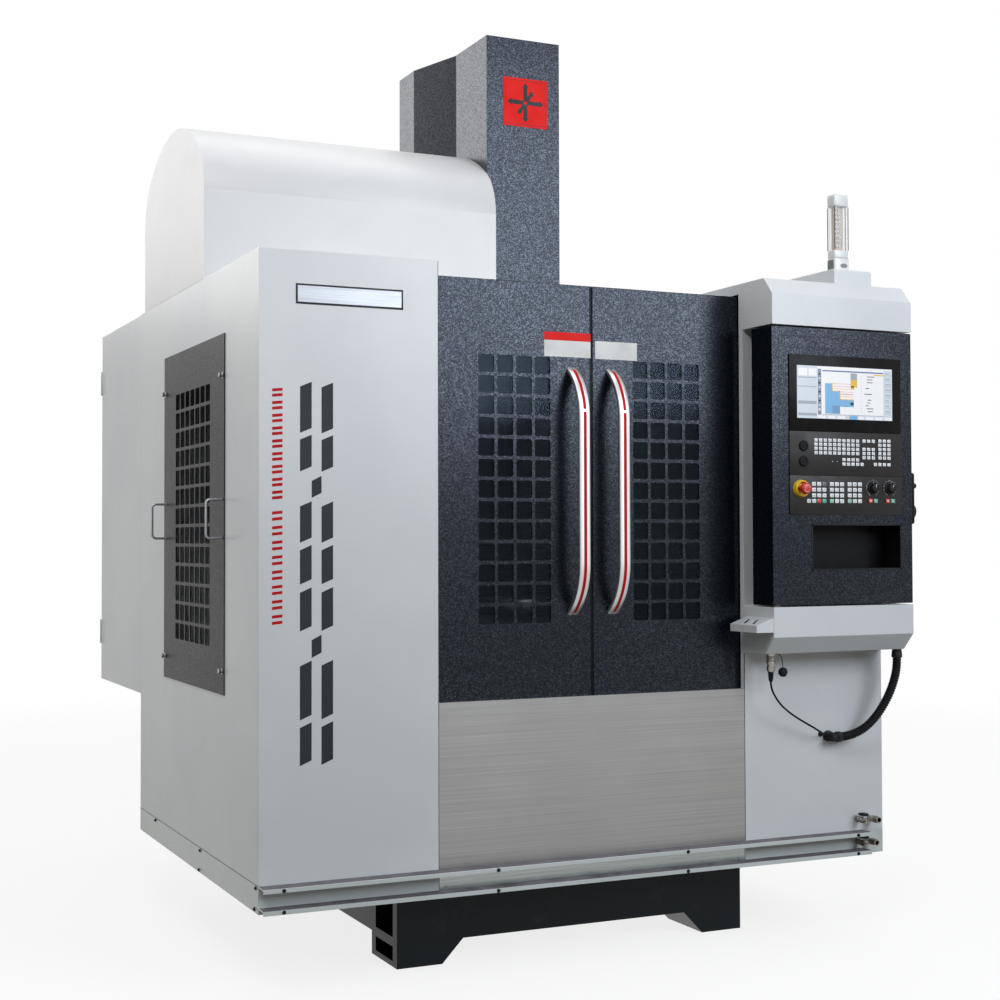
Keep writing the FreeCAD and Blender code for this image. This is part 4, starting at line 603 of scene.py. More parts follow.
def connector():
    plug = {"x": 1566.0, "y": -90.0, "top": 873.0, "capX": 1610.0, "capZ": 815.0, "knurls": 26, "wire": 1.2}
    down = (0, 0, -1)
    top = Vector((plug["x"], plug["y"], plug["top"]))
    bm = bmesh.new()
    # flange, ribbed coupling ring and shell, in metal
    shell = [(0, 14), (5, 14), (5.6, 11.4), (8, 11.4), (9, 13.2)]
    for i in range(7):
        shell += [(9.8 + 2.6 * i, 13.9), (11.2 + 2.6 * i, 13.0)]
    shell += [(28.4, 13.6), (30, 13.2), (31, 11.2), (40, 11.0), (41, 12.6), (50, 12.6), (53, 11.6), (55, 10)]
    lathe(bm, top, down, shell, 40)
    # strain relief: a ribbed sleeve that narrows to the cable
    sleeve = [(54.5, 8.8)]
    for i in range(6):
        radius = 8.8 - 0.35 * i
        sleeve += [(57 + 4 * i, radius), (59 + 4 * i, radius), (59.6 + 4 * i, radius - 1.2),
                   (60.4 + 4 * i, radius - 1.2)]
    lathe(bm, top, down, sleeve + [(83, 5.4), (87, 3.3)], 24, 1)
    addPiece("roundConnector", bm, ["nickel", "rubber"], "machine", ["service_connector"])
    # screw cap with a knurled rim, hung on a wire from the flange
    bm = bmesh.new()
    cap = Vector((plug["capX"], plug["y"], plug["capZ"]))
    for across, up in circle(plug["knurls"]):
        ridge = cap + Vector((13 * across, -6.2, 13 * up))
        lathe(bm, ridge, (0, 1, 0), [(0, 0.6), (0.6, 1.0), (11.6, 1.0), (12.2, 0.6)], 6)
    lathe(bm, cap - Vector((0, 7, 0)), (0, 1, 0), [(0, 0), (0, 9), (1.2, 11.5), (3, 12.8), (13, 12.8),
                                                   (14, 11)], 36)
    lathe(bm, cap - Vector((0, 7.6, 0)), (0, 1, 0), [(0, 0), (0, 3.2), (0.8, 4.2), (2, 4.2)], 20)
    hang = [top + Vector(p) for p in ((13, 0, -3), (20, 0, -1.5), (30, 0, -3), (38, 0, -12), (43, 0, -28),
                                      (44, 0, -46))]
    wire = pathPoints(routeSpline("lanyardRoute", [tuple(p) for p in hang]))
    tubeAlong(bm, wire, [plug["wire"]] * len(wire), 10)
    addPiece("connectorCap", bm, ["rubber"], "machine")


def cordGlands():
    bm = bmesh.new()
    lathe(bm, (2035, -95, 873), (0, 0, -1), [(0, 15), (5, 15), (5.4, 13.8), (6.4, 13.8), (6.8, 16), (15, 16),
                                             (16.4, 16.8), (27, 16.4), (27, 14.2)], 12)
    lathe(bm, (1861, -36, 602), (-1, 0, 0), [(0, 14.2), (0, 16), (2, 16.8), (16, 16.8), (17, 14.6), (30, 14),
                                             (36, 13.2), (37, 9)], 12)
    lathe(bm, (1839, -36, 602), (0, 1, 0), [(-13, 10), (-9, 12.8), (20, 13), (21, 15.4), (29, 15.4), (30, 17),
                                            (36, 17)], 24)
    lathe(bm, (1812, 0, 609), (0, -1, 0), [(0, 8.4), (2.5, 8.4), (2.6, 6.4), (6, 6.2), (7, 4.6)], 12)
    addPiece("hoseGlands", bm, ["black"], "machine", ["cord_glands"])


placeCamera()
studio()
paleFloor()
loomHose()
serviceCable()
connector()
cordGlands()
print("camera, light and cords placed")


# Perforated sheets: rounded square holes cut in a folded sheet

def perforatedSheet(bm, outer, columns, rows, pitch, hole, corner, thickness, place):
    # outer: (low u, high u, low v, high v); place turns (u, v, depth) into a point on the machine
    loop = roundedLoop(hole, hole, corner, 3)
    half = pitch / 2
    verts = {}

    def vert(u, v):
        key = (round(u, 3), round(v, 3))
        if key not in verts:
            verts[key] = bm.verts.new(place(u, v, 0))
        return verts[key]

    faces = []
    for middleU in columns:
        for middleV in rows:
            inner = [vert(middleU + u, middleV + v) for u, v in loop]
            outside = []
            for u, v in loop:
                diagonal = abs(abs(u) - abs(v)) < 0.5 * corner
                farU = math.copysign(half, u) if diagonal or abs(u) > abs(v) else u
                farV = math.copysign(half, v) if diagonal or abs(v) >= abs(u) else v
                outside.append(vert(middleU + farU, middleV + farV))
            for i in range(len(loop)):
                j = (i + 1) % len(loop)
                corners = list(dict.fromkeys([inner[i], inner[j], outside[j], outside[i]]))
                if len(corners) > 2:
                    faces.append(bm.faces.new(corners))
    # the field of holes is joined to the edges of the sheet
    low = place(columns[0] - half, rows[0] - half, 0)
    high = place(columns[-1] + half, rows[-1] + half, 0)
    rim = []
    for edge in bm.edges:
        middle = (edge.verts[0].co + edge.verts[1].co) / 2
        if edge.is_boundary and any(min(abs(middle[i] - low[i]), abs(middle[i] - high[i])) < 0.01
                                    for i in range(3) if abs(low[i] - high[i]) > 0.01):
            rim.append(edge)
    u0, u1, v0, v1 = outer
    corners = [bm.verts.new(place(u, v, 0)) for u, v in ((u0, v0), (u1, v0), (u1, v1), (u0, v1))]
    border = [bm.edges.new((corners[i], corners[(i + 1) % 4])) for i in range(4)]
    filled = bmesh.ops.triangle_fill(bm, use_beauty=True, use_dissolve=False, edges=rim + border)
    faces += [g for g in filled["geom"] if isinstance(g, bmesh.types.BMFace)]
    depth = Vector(place(0, 0, thickness)) - Vector(place(0, 0, 0))
    made = bmesh.ops.extrude_face_region(bm, geom=faces)
    bmesh.ops.translate(bm, vec=depth, verts=[g for g in made["geom"] if isinstance(g, bmesh.types.BMVert)])


def evenly(middle, count, step):
    return [middle + (i - (count - 1) / 2) * step for i in range(count)]


doorShape = {"front": 24.0, "depth": 30.0, "sheet": 3.0, "low": 742.0, "high": 1962.0, "seam": 1022.0,
             "gap": 2.0, "left": 490.0, "right": 1562.0, "window": 253.0, "hole": 50.0, "pitch": 60.0,
             "corner": 6.0, "columns": 4, "rows": 13, "windowLow": 976.0, "railZ": 1902.0, "railHeight": 16.0,
             "railY": 66.0, "headerY": 80.0, "trackTop": 735.0, "carriage": 120.0}


def slidingDoor(side):
    d = doorShape
    body = "left_door" if side < 0 else "right_door"
    x0, x1 = (d["left"], d["seam"] - d["gap"] / 2) if side < 0 else (d["seam"] + d["gap"] / 2, d["right"])
    middleX = d["seam"] + side * d["window"]
    middleZ = d["windowLow"] + ((d["rows"] - 1) * d["pitch"] + d["hole"]) / 2
    back = d["front"] + d["depth"]
    sheet = d["sheet"]
    bm = bmesh.new()
    perforatedSheet(bm, (x0 + 2, x1 - 2, d["low"] + 2, d["high"] - 2),
                    evenly(middleX, d["columns"], d["pitch"]), evenly(middleZ, d["rows"], d["pitch"]),
                    d["pitch"], d["hole"], d["corner"], sheet, lambda u, v, w: Vector((u, d["front"] + w, v)))
    # folded edges, stiffening strip, window frame, and the carriages that run on the rail
    for a, b in ((x0, x0 + sheet), (x1 - sheet, x1)):
        slab(bm, a, b, d["front"], back, d["low"], d["high"], 1.4)
    for a, b in ((d["low"], d["low"] + sheet), (d["high"] - sheet, d["high"])):
        slab(bm, x0 + 1, x1 - 1, d["front"], back, a, b, 1.4)
    slab(bm, x0 + 1, x1 - 1, back - sheet, back, 1870, d["high"] - 1)
    halfWidth = ((d["columns"] - 1) * d["pitch"] + d["hole"]) / 2
    top = d["windowLow"] + (d["rows"] - 1) * d["pitch"] + d["hole"]
    inner, outer = 4.0, 28.0
    frontY = d["front"] + sheet + 6
    for a, b in ((-halfWidth - outer, -halfWidth - inner), (halfWidth + inner, halfWidth + outer)):
        slab(bm, middleX + a, middleX + b, frontY, frontY + sheet, d["windowLow"] - outer, top + outer)
    for a, b in ((d["windowLow"] - outer, d["windowLow"] - inner), (top + inner, top + outer)):
        slab(bm, middleX - halfWidth - inner, middleX + halfWidth + inner, frontY, frontY + sheet, a, b)
    for x in (x0 + d["carriage"], x1 - d["carriage"]):
        half = d["carriage"] / 2
        z0, z1 = d["railZ"] - 12, d["railZ"] + d["railHeight"] + 12
        slab(bm, x - half, x + half, back, d["railY"] - 0.3, z0, z1, 1.5)
        slab(bm, x - half, x + half, d["railY"] - 0.3, d["headerY"] - 1, z0, d["railZ"] - 0.3, 1)
        slab(bm, x - half, x + half, d["railY"] - 0.3, d["headerY"] - 1, z1 - 11.7, z1, 1)
        slab(bm, x - 30, x + 30, 37, 41, d["trackTop"] - 12, d["low"] + sheet, 0.5)
    name = "leftSlidingDoor" if side < 0 else "rightSlidingDoor"
    addPiece(name, bm, ["dark"], body, ["left_door" if side < 0 else "right_door"], 30)
    # rubber lip down the seam, on the inner edge of the left leaf only
    if side < 0:
        bm = bmesh.new()
        slab(bm, x1 - 7, x1 - 0.2, d["front"] - 0.7, d["front"] + 0.1, d["low"] + 4, d["high"] - 4, 0.3)
        slab(bm, x1 - 1.6, x1 + 0.8, d["front"] + 5, back - 3, d["low"] + 4, d["high"] - 4, 0.5)
        addPiece("seamLip", bm, ["rubber"], body)


def doorHandle(side):
    # flat bar that bends into the door at both ends, with a red inlay on its crown
    handle = {"side": 66.0, "width": 35.0, "thick": 14.0, "out": 80.0, "low": 996.0, "high": 1720.0,
              "bend": 150.0, "face": 24.0, "inlay": 9.0, "gapLow": 1585.0, "gapHigh": 1592.0}
    body = "left_door" if side < 0 else "right_door"
    x = doorShape["seam"] + side * handle["side"]
    front = handle["face"] - handle["out"]
    radius = (handle["out"] ** 2 + handle["bend"] ** 2) / (2 * handle["out"])
    middleY = front + radius
    lean = math.asin(handle["bend"] / radius)
    steps = 14
    stations = []  # (crown point in y and z, outward direction)
    for i in range(steps + 1):
        angle = lean * (1 - i / steps)
        stations.append((middleY - radius * math.cos(angle), handle["high"] - handle["bend"]
                         + radius * math.sin(angle), angle))
    for i in range(1, 12):
        z = handle["high"] - handle["bend"] - (handle["high"] - handle["low"] - 2 * handle["bend"]) * i / 12
        stations.append((front, z, 0.0))
    for i in range(steps + 1):
        angle = -lean * i / steps
        stations.append((middleY - radius * math.cos(angle), handle["low"] + handle["bend"]
                         + radius * math.sin(angle), angle))
    # cross-section: crowned face, rounded shoulders, flat back; (across, depth behind the crown)
    half = handle["width"] / 2
    section = [(-half + 5, 0.7), (-half + 1.6, 2.2), (-half, 5.0), (-half, handle["thick"] - 2.5),
               (-half + 2.5, handle["thick"]), (half - 2.5, handle["thick"]), (half, handle["thick"] - 2.5),
               (half, 5.0), (half - 1.6, 2.2), (half - 5, 0.7), (handle["inlay"] / 2 + 1, 0.15),
               (handle["inlay"] / 2, 0.9), (-handle["inlay"] / 2, 0.9), (-handle["inlay"] / 2 - 1, 0.15)]

    def sweep(bm, outline, use, material=0):
        rings = []
        for y, z, angle in use:
            inward = Vector((0, math.cos(angle), -math.sin(angle)))
            ring = [Vector((x + across, y, z)) + inward * depth for across, depth in outline]
            rings.append([Vector((p.x, min(p.y, handle["face"]), p.z)) for p in ring])
        skin(bm, rings, material)

    bm = bmesh.new()
    sweep(bm, section, stations)
    inlay = [(-handle["inlay"] / 2 + 0.1, 1.0), (-handle["inlay"] / 2 + 0.1, 0.2), (-1.5, -0.1), (1.5, -0.1),
             (handle["inlay"] / 2 - 0.1, 0.2), (handle["inlay"] / 2 - 0.1, 1.0)]

    def onCurve(z):
        angle = math.asin((z - handle["high"] + handle["bend"]) / radius)
        return middleY - radius * math.cos(angle), z, angle

    shown = [s for s in stations if s[0] < handle["face"] - 1]
    upper = [s for s in shown if s[1] > handle["gapHigh"]] + [onCurve(handle["gapHigh"])]
    lower = [onCurve(handle["gapLow"])] + [s for s in shown if s[1] < handle["gapLow"]]
    sweep(bm, inlay, upper, 1)
    sweep(bm, inlay, lower, 1)
    name = "left" if side < 0 else "right"
    addPiece(name + "PullHandle", bm, ["satin", "stripeRed"], body,
             [name + "_door_handle"], 34)


def doorPlates():
    # a blank plate on each door; the left one has a red head
    bm = bmesh.new()
    y = doorShape["front"]
    slab(bm, 864, 1017, y - 1.0, y, 1749, 1821, 0.3, 1, 1)
    slab(bm, 864, 1017, y - 1.3, y - 0.9, 1797, 1821, 0.2, 1)
    addPiece("leftBlankPlate", bm, ["plateRed", "labelWhite"], "left_door")
    bm = bmesh.new()
    slab(bm, 1032, 1174, y - 1.0, y, 1748, 1801, 0.3, 1)
    addPiece("rightBlankPlate", bm, ["labelWhite"], "right_door")


for side in (-1, 1):
    slidingDoor(side)
    doorHandle(side)
doorPlates()
print("doors built")


# Side access panels

accessShape = {"y0": 329.0, "y1": 1045.0, "z0": 776.0, "z1": 1808.0, "sheet": 3.0, "columns": 7, "rows": 13,
               "pitch": 60.0, "hole": 50.0, "corner": 5.0, "screwIn": 17.0, "gripIn": 24.0, "gripZ": 1278.0,
               "gripHeight": 110.0, "gripRadius": 4.0, "reach": 52.0}


def leftAccessPanel():
    a = accessShape
    bm = bmesh.new()
    perforatedSheet(bm, (a["y0"], a["y1"], a["z0"], a["z1"]), evenly((a["y0"] + a["y1"]) / 2, a["columns"],
                                                                     a["pitch"]),
                    evenly((a["z0"] + a["z1"]) / 2, a["rows"], a["pitch"]), a["pitch"], a["hole"],
                    a["corner"], 3.0, lambda u, v, w: Vector((-a["sheet"] + w, u, v)))
    addPiece("leftPerforatedPanel", bm, ["fineDark"], "machine", ["left_access_panel"], 30)


def accessHardware():
    a = accessShape
    bm = bmesh.new()
    for side, face in ((-1, -a["sheet"]), (1, 2050 + a["sheet"])):
        out = face + side * (a["reach"] - a["sheet"] - a["gripRadius"])
        for y in (a["y0"] + a["gripIn"], a["y1"] - a["gripIn"]):
            low, high = a["gripZ"] - a["gripHeight"] / 2, a["gripZ"] + a["gripHeight"] / 2
            bend = 12.0
            points = [(face, y, low), (out - side * bend, y, low)]
            points += [(out - side * bend * (1 - math.sin(t)), y, low + bend * (1 - math.cos(t)))
                       for t in (math.radians(15 * i) for i in range(1, 7))]
            points += [(out - side * bend * (1 - math.cos(t)), y, high - bend * (1 - math.sin(t)))
                       for t in (math.radians(15 * i) for i in range(0, 7))]
            points += [(face, y, high)]
            tubeAlong(bm, points, [a["gripRadius"]] * len(points))
            for z in (low, high):
                lathe(bm, (face, y, z), (side, 0, 0), [(0, 5.6), (1.0, 5.6), (1.4, 4.2)], 20)
        for y in (a["y0"] + a["screwIn"], a["y1"] - a["screwIn"]):
            for z in (a["z0"] + 4 * a["screwIn"], a["z1"] - 7 * a["screwIn"]):
                lathe(bm, (face, y, z), (side, 0, 0), [(0, 9), (1.2, 9), (1.6, 5.2), (5, 5), (5.4, 6.6),
                                                       (7, 7.4), (11, 7.4), (12, 6.4), (12, 0)], 12)
    addPiece("gripsAndScrews", bm, ["badge"], "machine", ["access_hardware"])


leftAccessPanel()
accessHardware()
print("access panels built")


# Small screws on the ledges and the lower strip

def ledgeBolts():
    bolts = {"radius": 5.5, "height": 5.0, "ledgeY": -46.0, "rows": (294.0, 237.0),
             "front": (57, 681, 1300, 1920), "side": ((20, 293), (593, 293), (1164, 293), (31, 236),
                                                      (606, 233))}
    r, h = bolts["radius"], bolts["height"]
    head = [(0, r), (0.6, r), (1.8, r * 0.93), (3.2, r * 0.76), (4.4, r * 0.55), (h, r * 0.5), (h, r * 0.38),
            (h - 2.4, r * 0.34), (h - 2.4, 0)]
    bm = bmesh.new()
    for x in bolts["front"]:
        for z in bolts["rows"]:
            lathe(bm, (x, bolts["ledgeY"], z), (0, -1, 0), head, 18)
    for y, z in bolts["side"]:
        lathe(bm, (0, y, z), (-1, 0, 0), head, 18)
    addPiece("buttonHeads", bm, ["black"], "machine", ["ledge_bolts"], 34)


def lowerStrip():
    # polished strip between the ledges with a small screw at each end; painted shade on the ledge tops
    bm = bmesh.new()
    slab(bm, 521, 1526, -1.2, 0.2, 245, 286, 0.3, 1)
    for x, z in ((539.6, 252.5), (1505.4, 248.5)):
        lathe(bm, (x, -1.2, z), (0, -1, 0), [(0, 3.0), (0.6, 3.0), (1.6, 2.2), (1.8, 0)], 16, 1)
    addPiece("lowerStrip", bm, ["strip", "nickel"], "machine")
    bm = bmesh.new()
    # thin dark slabs over the ledge tops: painted shade below the overhanging housing
    for top in (300, 243):
        slab(bm, 1, 1971, -44.5, -1.6, top - 0.2, top + 0.7, 0.3, 1)
    addPiece("paintedLedgeShade", bm, ["ledgeShade"], "machine")


ledgeBolts()
lowerStrip()


# Operator station

station = {"front": -155.0, "plate": 4.0, "panelX": 1591.0, "panelWidth": 416.0, "displayLow": 1540.0,
           "displayHigh": 1770.0, "keyboardLow": 1407.3, "machineLow": 1289.0}
panelFace = station["front"] - station["plate"]


def displayUnit():
    s = station
    bm = bmesh.new()
    x0, x1 = s["panelX"], s["panelX"] + s["panelWidth"]
    z0, z1 = s["displayLow"], s["displayHigh"]
    slab(bm, x0, x1, panelFace, s["front"], z0, z1, 1.6)
    slab(bm, x0 + 15, x1 - 15, s["front"] - 0.5, s["front"] + 40, z0 + 1, z1 - 15, 1.0, 1, 1)
    screen = {"x0": 1619.0, "x1": 1973.0, "z0": 1579.0, "z1": 1737.5}
    w, h = screen["x1"] - screen["x0"], screen["z1"] - screen["z0"]
    # generic operating page in layers: grounds, then the drawing of a part, then its paths and the lists
    layers = [
        [(0, 0, 1, 1, "white")],
        [(0, 0, 0.208, 1, "pale"), (0.213, 0.075, 0.250, 0.95, "steel"), (0.262, 0.905, 0.905, 0.93, "navy"),
         (0.908, 0.075, 0.995, 0.97, "pale"), (0.21, 0, 1, 0.072, "pale"),
         (0.262, 0.078, 0.905, 0.088, "steel"), (0.289, 0.10, 0.363, 0.68, "blue"),
         (0.363, 0.10, 0.444, 0.54, "blue"), (0.444, 0.24, 0.59, 0.385, "blue"),
         (0.558, 0.73, 0.6255, 0.89, "mid")],
        [(0.015, 0.81, 0.105, 0.95, "white"), (0.12, 0.81, 0.20, 0.95, "white"),
         (0.01, 0.765, 0.20, 0.785, "mid"), (0.01, 0.595, 0.20, 0.612, "mid"),
         (0.01, 0.27, 0.20, 0.33, "mid"), (0.01, 0.05, 0.20, 0.10, "mid"), (0.363, 0.10, 0.444, 0.26, "sea"),
         (0.360, 0.535, 0.368, 0.69, "yellow"), (0.363, 0.530, 0.449, 0.542, "yellow"),
         (0.441, 0.38, 0.449, 0.54, "yellow"), (0.441, 0.372, 0.59, 0.386, "yellow"),
         (0.558, 0.62, 0.6255, 0.76, "yellow"), (0.558, 0.58, 0.595, 0.64, "yellow"),
         (0.803, 0.862, 0.917, 0.885, "amber"), (0.543, 0.0, 0.632, 0.074, "blue"),
         (0.375, 0.672, 0.558, 0.684, "rose"), (0.375, 0.622, 0.558, 0.634, "rose"),
         (0.375, 0.575, 0.558, 0.585, "amber"), (0.455, 0.520, 0.585, 0.530, "rose"),
         (0.455, 0.475, 0.585, 0.485, "red"), (0.455, 0.430, 0.585, 0.440, "amber"),
         (0.555, 0.275, 0.588, 0.33, "dark"), (0.48, 0.24, 0.53, 0.262, "sea")]]
    random.seed(11)
    for i in range(13):
        v = 0.83 - 0.056 * i
        layers[2].append((0.665, v, 0.672, v + 0.012, "mid"))
        if random.random() < 0.75:
            start = 0.70 + 0.06 * random.random()
            layers[2].append((start, v, start + 0.03 + 0.05 * random.random(), v + 0.014, "dark"))
    for i in range(8):
        layers[2].append((0.915, 0.14 + 0.105 * i, 0.990, 0.146 + 0.105 * i, "mid"))
        layers[2].append((0.925, 0.17 + 0.105 * i, 0.955 + 0.03 * random.random(), 0.186 + 0.105 * i, "mid"))
        layers[2].append((0.215 + 0.1 * i, 0.008, 0.295 + 0.1 * i, 0.060, "white") if i != 3 else
                         (0.22, 0.15, 0.243, 0.20, "pale"))
        layers[2].append((0.222, 0.24 + 0.085 * i, 0.241, 0.272 + 0.085 * i, "dark" if i % 2 else "pale"))
    tones = ["bezel", "ink", "white", "pale", "mid", "steel", "blue", "sea", "navy", "yellow", "amber",
             "rose", "red", "dark"]
    for depth, layer in enumerate(layers):
        for u0, v0, u1, v1, tone in layer:
            slab(bm, screen["x0"] + u0 * w, screen["x0"] + u1 * w, panelFace - 0.15 * (depth + 1),
                 panelFace + 0.05, screen["z0"] + v0 * h, screen["z0"] + v1 * h, 0, 1, tones.index(tone))
    addPiece("displayPanel", bm, tones, "operator_station", ["display_unit"], 30)


# sealed keys: middle of the first key, columns, rows, and the steps to the right and down
smallKeys = {"size": (12.0, 10.0), "blocks": [(1686.0, 1514.0, 10, 4, 17.1, 12.8),
                                              (1864.2, 1514.5, 3, 1, 17.5, 0.0),
                                              (1864.0, 1489.3, 3, 3, 17.5, 12.85),
                                              (1924.2, 1516.0, 3, 5, 17.2, 13.0),
                                              (1788.7, 1456.6, 4, 1, 16.9, 0.0),
                                              (1788.7, 1443.0, 5, 1, 16.9, 0.0),
                                              (1906.5, 1443.8, 4, 1, 17.2, 0.0)]}
largeKeys = {"size": (14.5, 12.0), "blocks": [(1677.2, 1381.5, 3, 3, 19.0, 17.2),
                                              (1658.4, 1330.4, 4, 1, 19.0, 0.0),
                                              (1742.8, 1381.6, 3, 4, 18.9, 17.0),
                                              (1809.0, 1382.0, 3, 4, 19.1, 17.0)],
             "tinted": {(0, 2, 0): "keyGrey", (1, 2, 0): "keyRed", (1, 3, 0): "keyGreen",
                        (2, 0, 3): "keyMint", (3, 0, 3): "keyMint"}}


def keyCaps():
    caps = ["keyWhite", "ink", "keyGrey", "keyRed", "keyGreen", "keyMint"]
    random.seed(5)
    bm = bmesh.new()
    for keys in (smallKeys, largeKeys):
        halfX, halfZ = keys["size"][0] / 2, keys["size"][1] / 2
        for block, (x, z, columns, rows, across, down) in enumerate(keys["blocks"]):
            for column in range(columns):
                for row in range(rows):
                    kx, kz = x + column * across, z - row * down
                    cap = keys.get("tinted", {}).get((block, column, row), "keyWhite")
                    slab(bm, kx - halfX, kx + halfX, panelFace - 2, panelFace, kz - halfZ, kz + halfZ, 1.0, 2,
                         caps.index(cap))
                    # a small mark on each cap
                    marks = [(-2.4, -0.5, 2.4, 0.3)] if keys is largeKeys else [(-1.6, -1.8, -0.8, 1.8)]
                    if random.random() < 0.6:
                        marks.append((-1.6, 1.9, 1.8, 2.5))
                    if random.random() < 0.5:
                        marks.append((0.8, -1.8, 1.6, 0.9))
                    for a, b, c, d in marks:
                        slab(bm, kx + a, kx + c, panelFace - 2.12, panelFace - 1.9, kz + b, kz + d, 0, 1, 1)
    for x in (1746.5, 1764.2):  # two lamps beside the keys
        slab(bm, x - 1.3, x + 1.3, panelFace - 0.5, panelFace + 0.05, 1449.2, 1451.6, 0.2, 1)
    addPiece("keyField", bm, caps, "operator_station", ["panel_keys"], 30)


def keyboardPanel():
    s = station
    x0, x1 = s["panelX"], s["panelX"] + s["panelWidth"]
    bm = bmesh.new()
    slab(bm, x0, x1, panelFace, s["front"], s["keyboardLow"], s["displayLow"] - 0.3, 1.4)
    slab(bm, x0 + 15, x1 - 15, s["front"] - 0.5, s["front"] + 40, s["keyboardLow"] + 1, s["displayLow"] - 1,
         1, 1)
    # screw covers of the two ports, knurled round their rims
    for z in (1495.5, 1449.2):
        port = Vector((1640.6, panelFace, z))
        lathe(bm, port, (0, -1, 0), [(0, 16.5), (1.2, 16.5), (1.6, 15.0), (4.6, 14.8), (5.6, 13.8),
                                     (5.8, 10.5), (4.4, 9.8), (4.4, 0)], 36, 1)
        for across, up in circle(22):
            ridge = port + Vector((15 * across, -1.6, 15 * up))
            lathe(bm, ridge, (0, -1, 0), [(0, 1.1), (3, 1.1), (3.6, 0.5)], 6, 1)
        slab(bm, port.x - 9, port.x + 9, panelFace - 6, panelFace - 4, z - 1.6, z + 1.6, 0.6, 1, 1)
    addPiece("keyboardPlate", bm, ["panel", "rubber"], "operator_station",
             ["keyboard_panel"], 35)


controlPlaces = {"stop": (1629.4, 1366.9), "ring": 27.0, "knobs": (1897.0, 1962.4), "knobZ": 1371.7,
                 "knob": 20.0, "keyZ": 1332.2, "keySide": 9.6, "keyHalf": (7.25, 6.0)}


def machinePanel():
    s = station
    c = controlPlaces
    x0, x1 = s["panelX"], s["panelX"] + s["panelWidth"]
    z0, z1 = s["machineLow"], s["keyboardLow"] - 0.3
    bm = bmesh.new()
    slab(bm, x0, x1, panelFace, s["front"], z0, z1, 1.4)
    slab(bm, x0 + 15, x1 - 15, s["front"] - 0.5, s["front"] + 40, z0 + 15, z1 - 1, 1, 1)
    # yellow ring round the emergency stop
    ring = c["ring"]
    lathe(bm, (c["stop"][0], panelFace, c["stop"][1]), (0, -1, 0),
          [(0, ring), (1.0, ring), (12.5, ring - 2.4), (14, ring - 4), (14, ring - 6), (10, 18.4), (2, 18.4),
           (2, 0)], 40, 1)
    # dial scales: a short mark for each step of the two knobs
    for x in c["knobs"]:
        centre = Vector((x, panelFace, c["knobZ"]))
        inner = c["knob"] + 1.8
        for i in range(21):
            angle = math.radians(-150 + 15 * i)
            long = 4.0 if i % 5 == 0 else 2.4
            along = Vector((math.sin(angle), 0, math.cos(angle)))
            across = Vector((math.cos(angle), 0, -math.sin(angle))) * 0.5
            corners = [centre + along * inner - across, centre + along * (inner + long) - across,
                       centre + along * (inner + long) + across, centre + along * inner + across]
            prismPlate(bm, corners, (0, -0.15, 0), 2)
    addPiece("machinePlate", bm, ["panel", "yellow", "whiteInk"], "operator_station",
             ["machine_panel"], 35)


def overrideKnobs():
    c = controlPlaces
    r = c["knob"]
    for name, x in (("feed", c["knobs"][0]), ("spindle", c["knobs"][1])):
        bm = bmesh.new()
        centre = Vector((x, panelFace, c["knobZ"]))
        lathe(bm, centre, (0, -1, 0), [(-18, 3), (0.3, 3), (0.3, r), (3.2, r - 0.4), (5, r - 2.4),
                                       (5, r - 5.6), (15.2, r - 7.4), (16.6, r - 8.6), (17, r - 11.5),
                                       (17, 0)], 40)
        for i in range(20):
            angle = 2 * math.pi * (i + 0.5) / 20
            ridge = centre + Vector(((r - 6.4) * math.cos(angle), -5.2, (r - 6.4) * math.sin(angle)))
            lathe(bm, ridge, (0, -1, 0), [(0, 1.2), (9.5, 0.9), (10.4, 0.4)], 6)
        slab(bm, x - 0.9, x + 0.9, panelFace - 17.4, panelFace - 16.8, c["knobZ"] + 2, c["knobZ"] + 10.5, 0.2,
             1, 1)
        slab(bm, x - 0.9, x + 0.9, panelFace - 5.4, panelFace - 4.6, c["knobZ"] + 14.8, c["knobZ"] + 17.4,
             0.2, 1, 1)
        body = name + "_override_knob"
        addPiece(name + "Dial", bm, ["black", "whiteInk"], body, [body], 35)


def stopButton():
    x, z = controlPlaces["stop"]
    bm = bmesh.new()
    lathe(bm, (x, panelFace, z), (0, -1, 0), [(-22, 8), (13.5, 8), (14, 9.8), (17.5, 13.4), (20.5, 16.0),
                                              (24, 17), (30.5, 17), (33, 16), (35, 12.6), (36, 7), (36, 0)],
          40)
    # two turning arrows pressed into the crown
    for start in (20, 200):
        for i in range(8):
            angle = math.radians(start + 14 * i)
            along = Vector((math.cos(angle), 0, math.sin(angle)))
            across = Vector((-math.sin(angle), 0, math.cos(angle)))
            centre = Vector((x, panelFace - 34.9, z)) + along * 10.0
            corners = [centre - along * 0.8 - across * 1.5, centre + along * 0.8 - across * 1.5,
                       centre + along * 0.8 + across * 1.5, centre - along * 0.8 + across * 1.5]
            prismPlate(bm, corners, (0, -0.75, 0), 1)
    addPiece("stopMushroom", bm, ["red", "whiteInk"], "emergency_stop", ["emergency_stop"], 45)


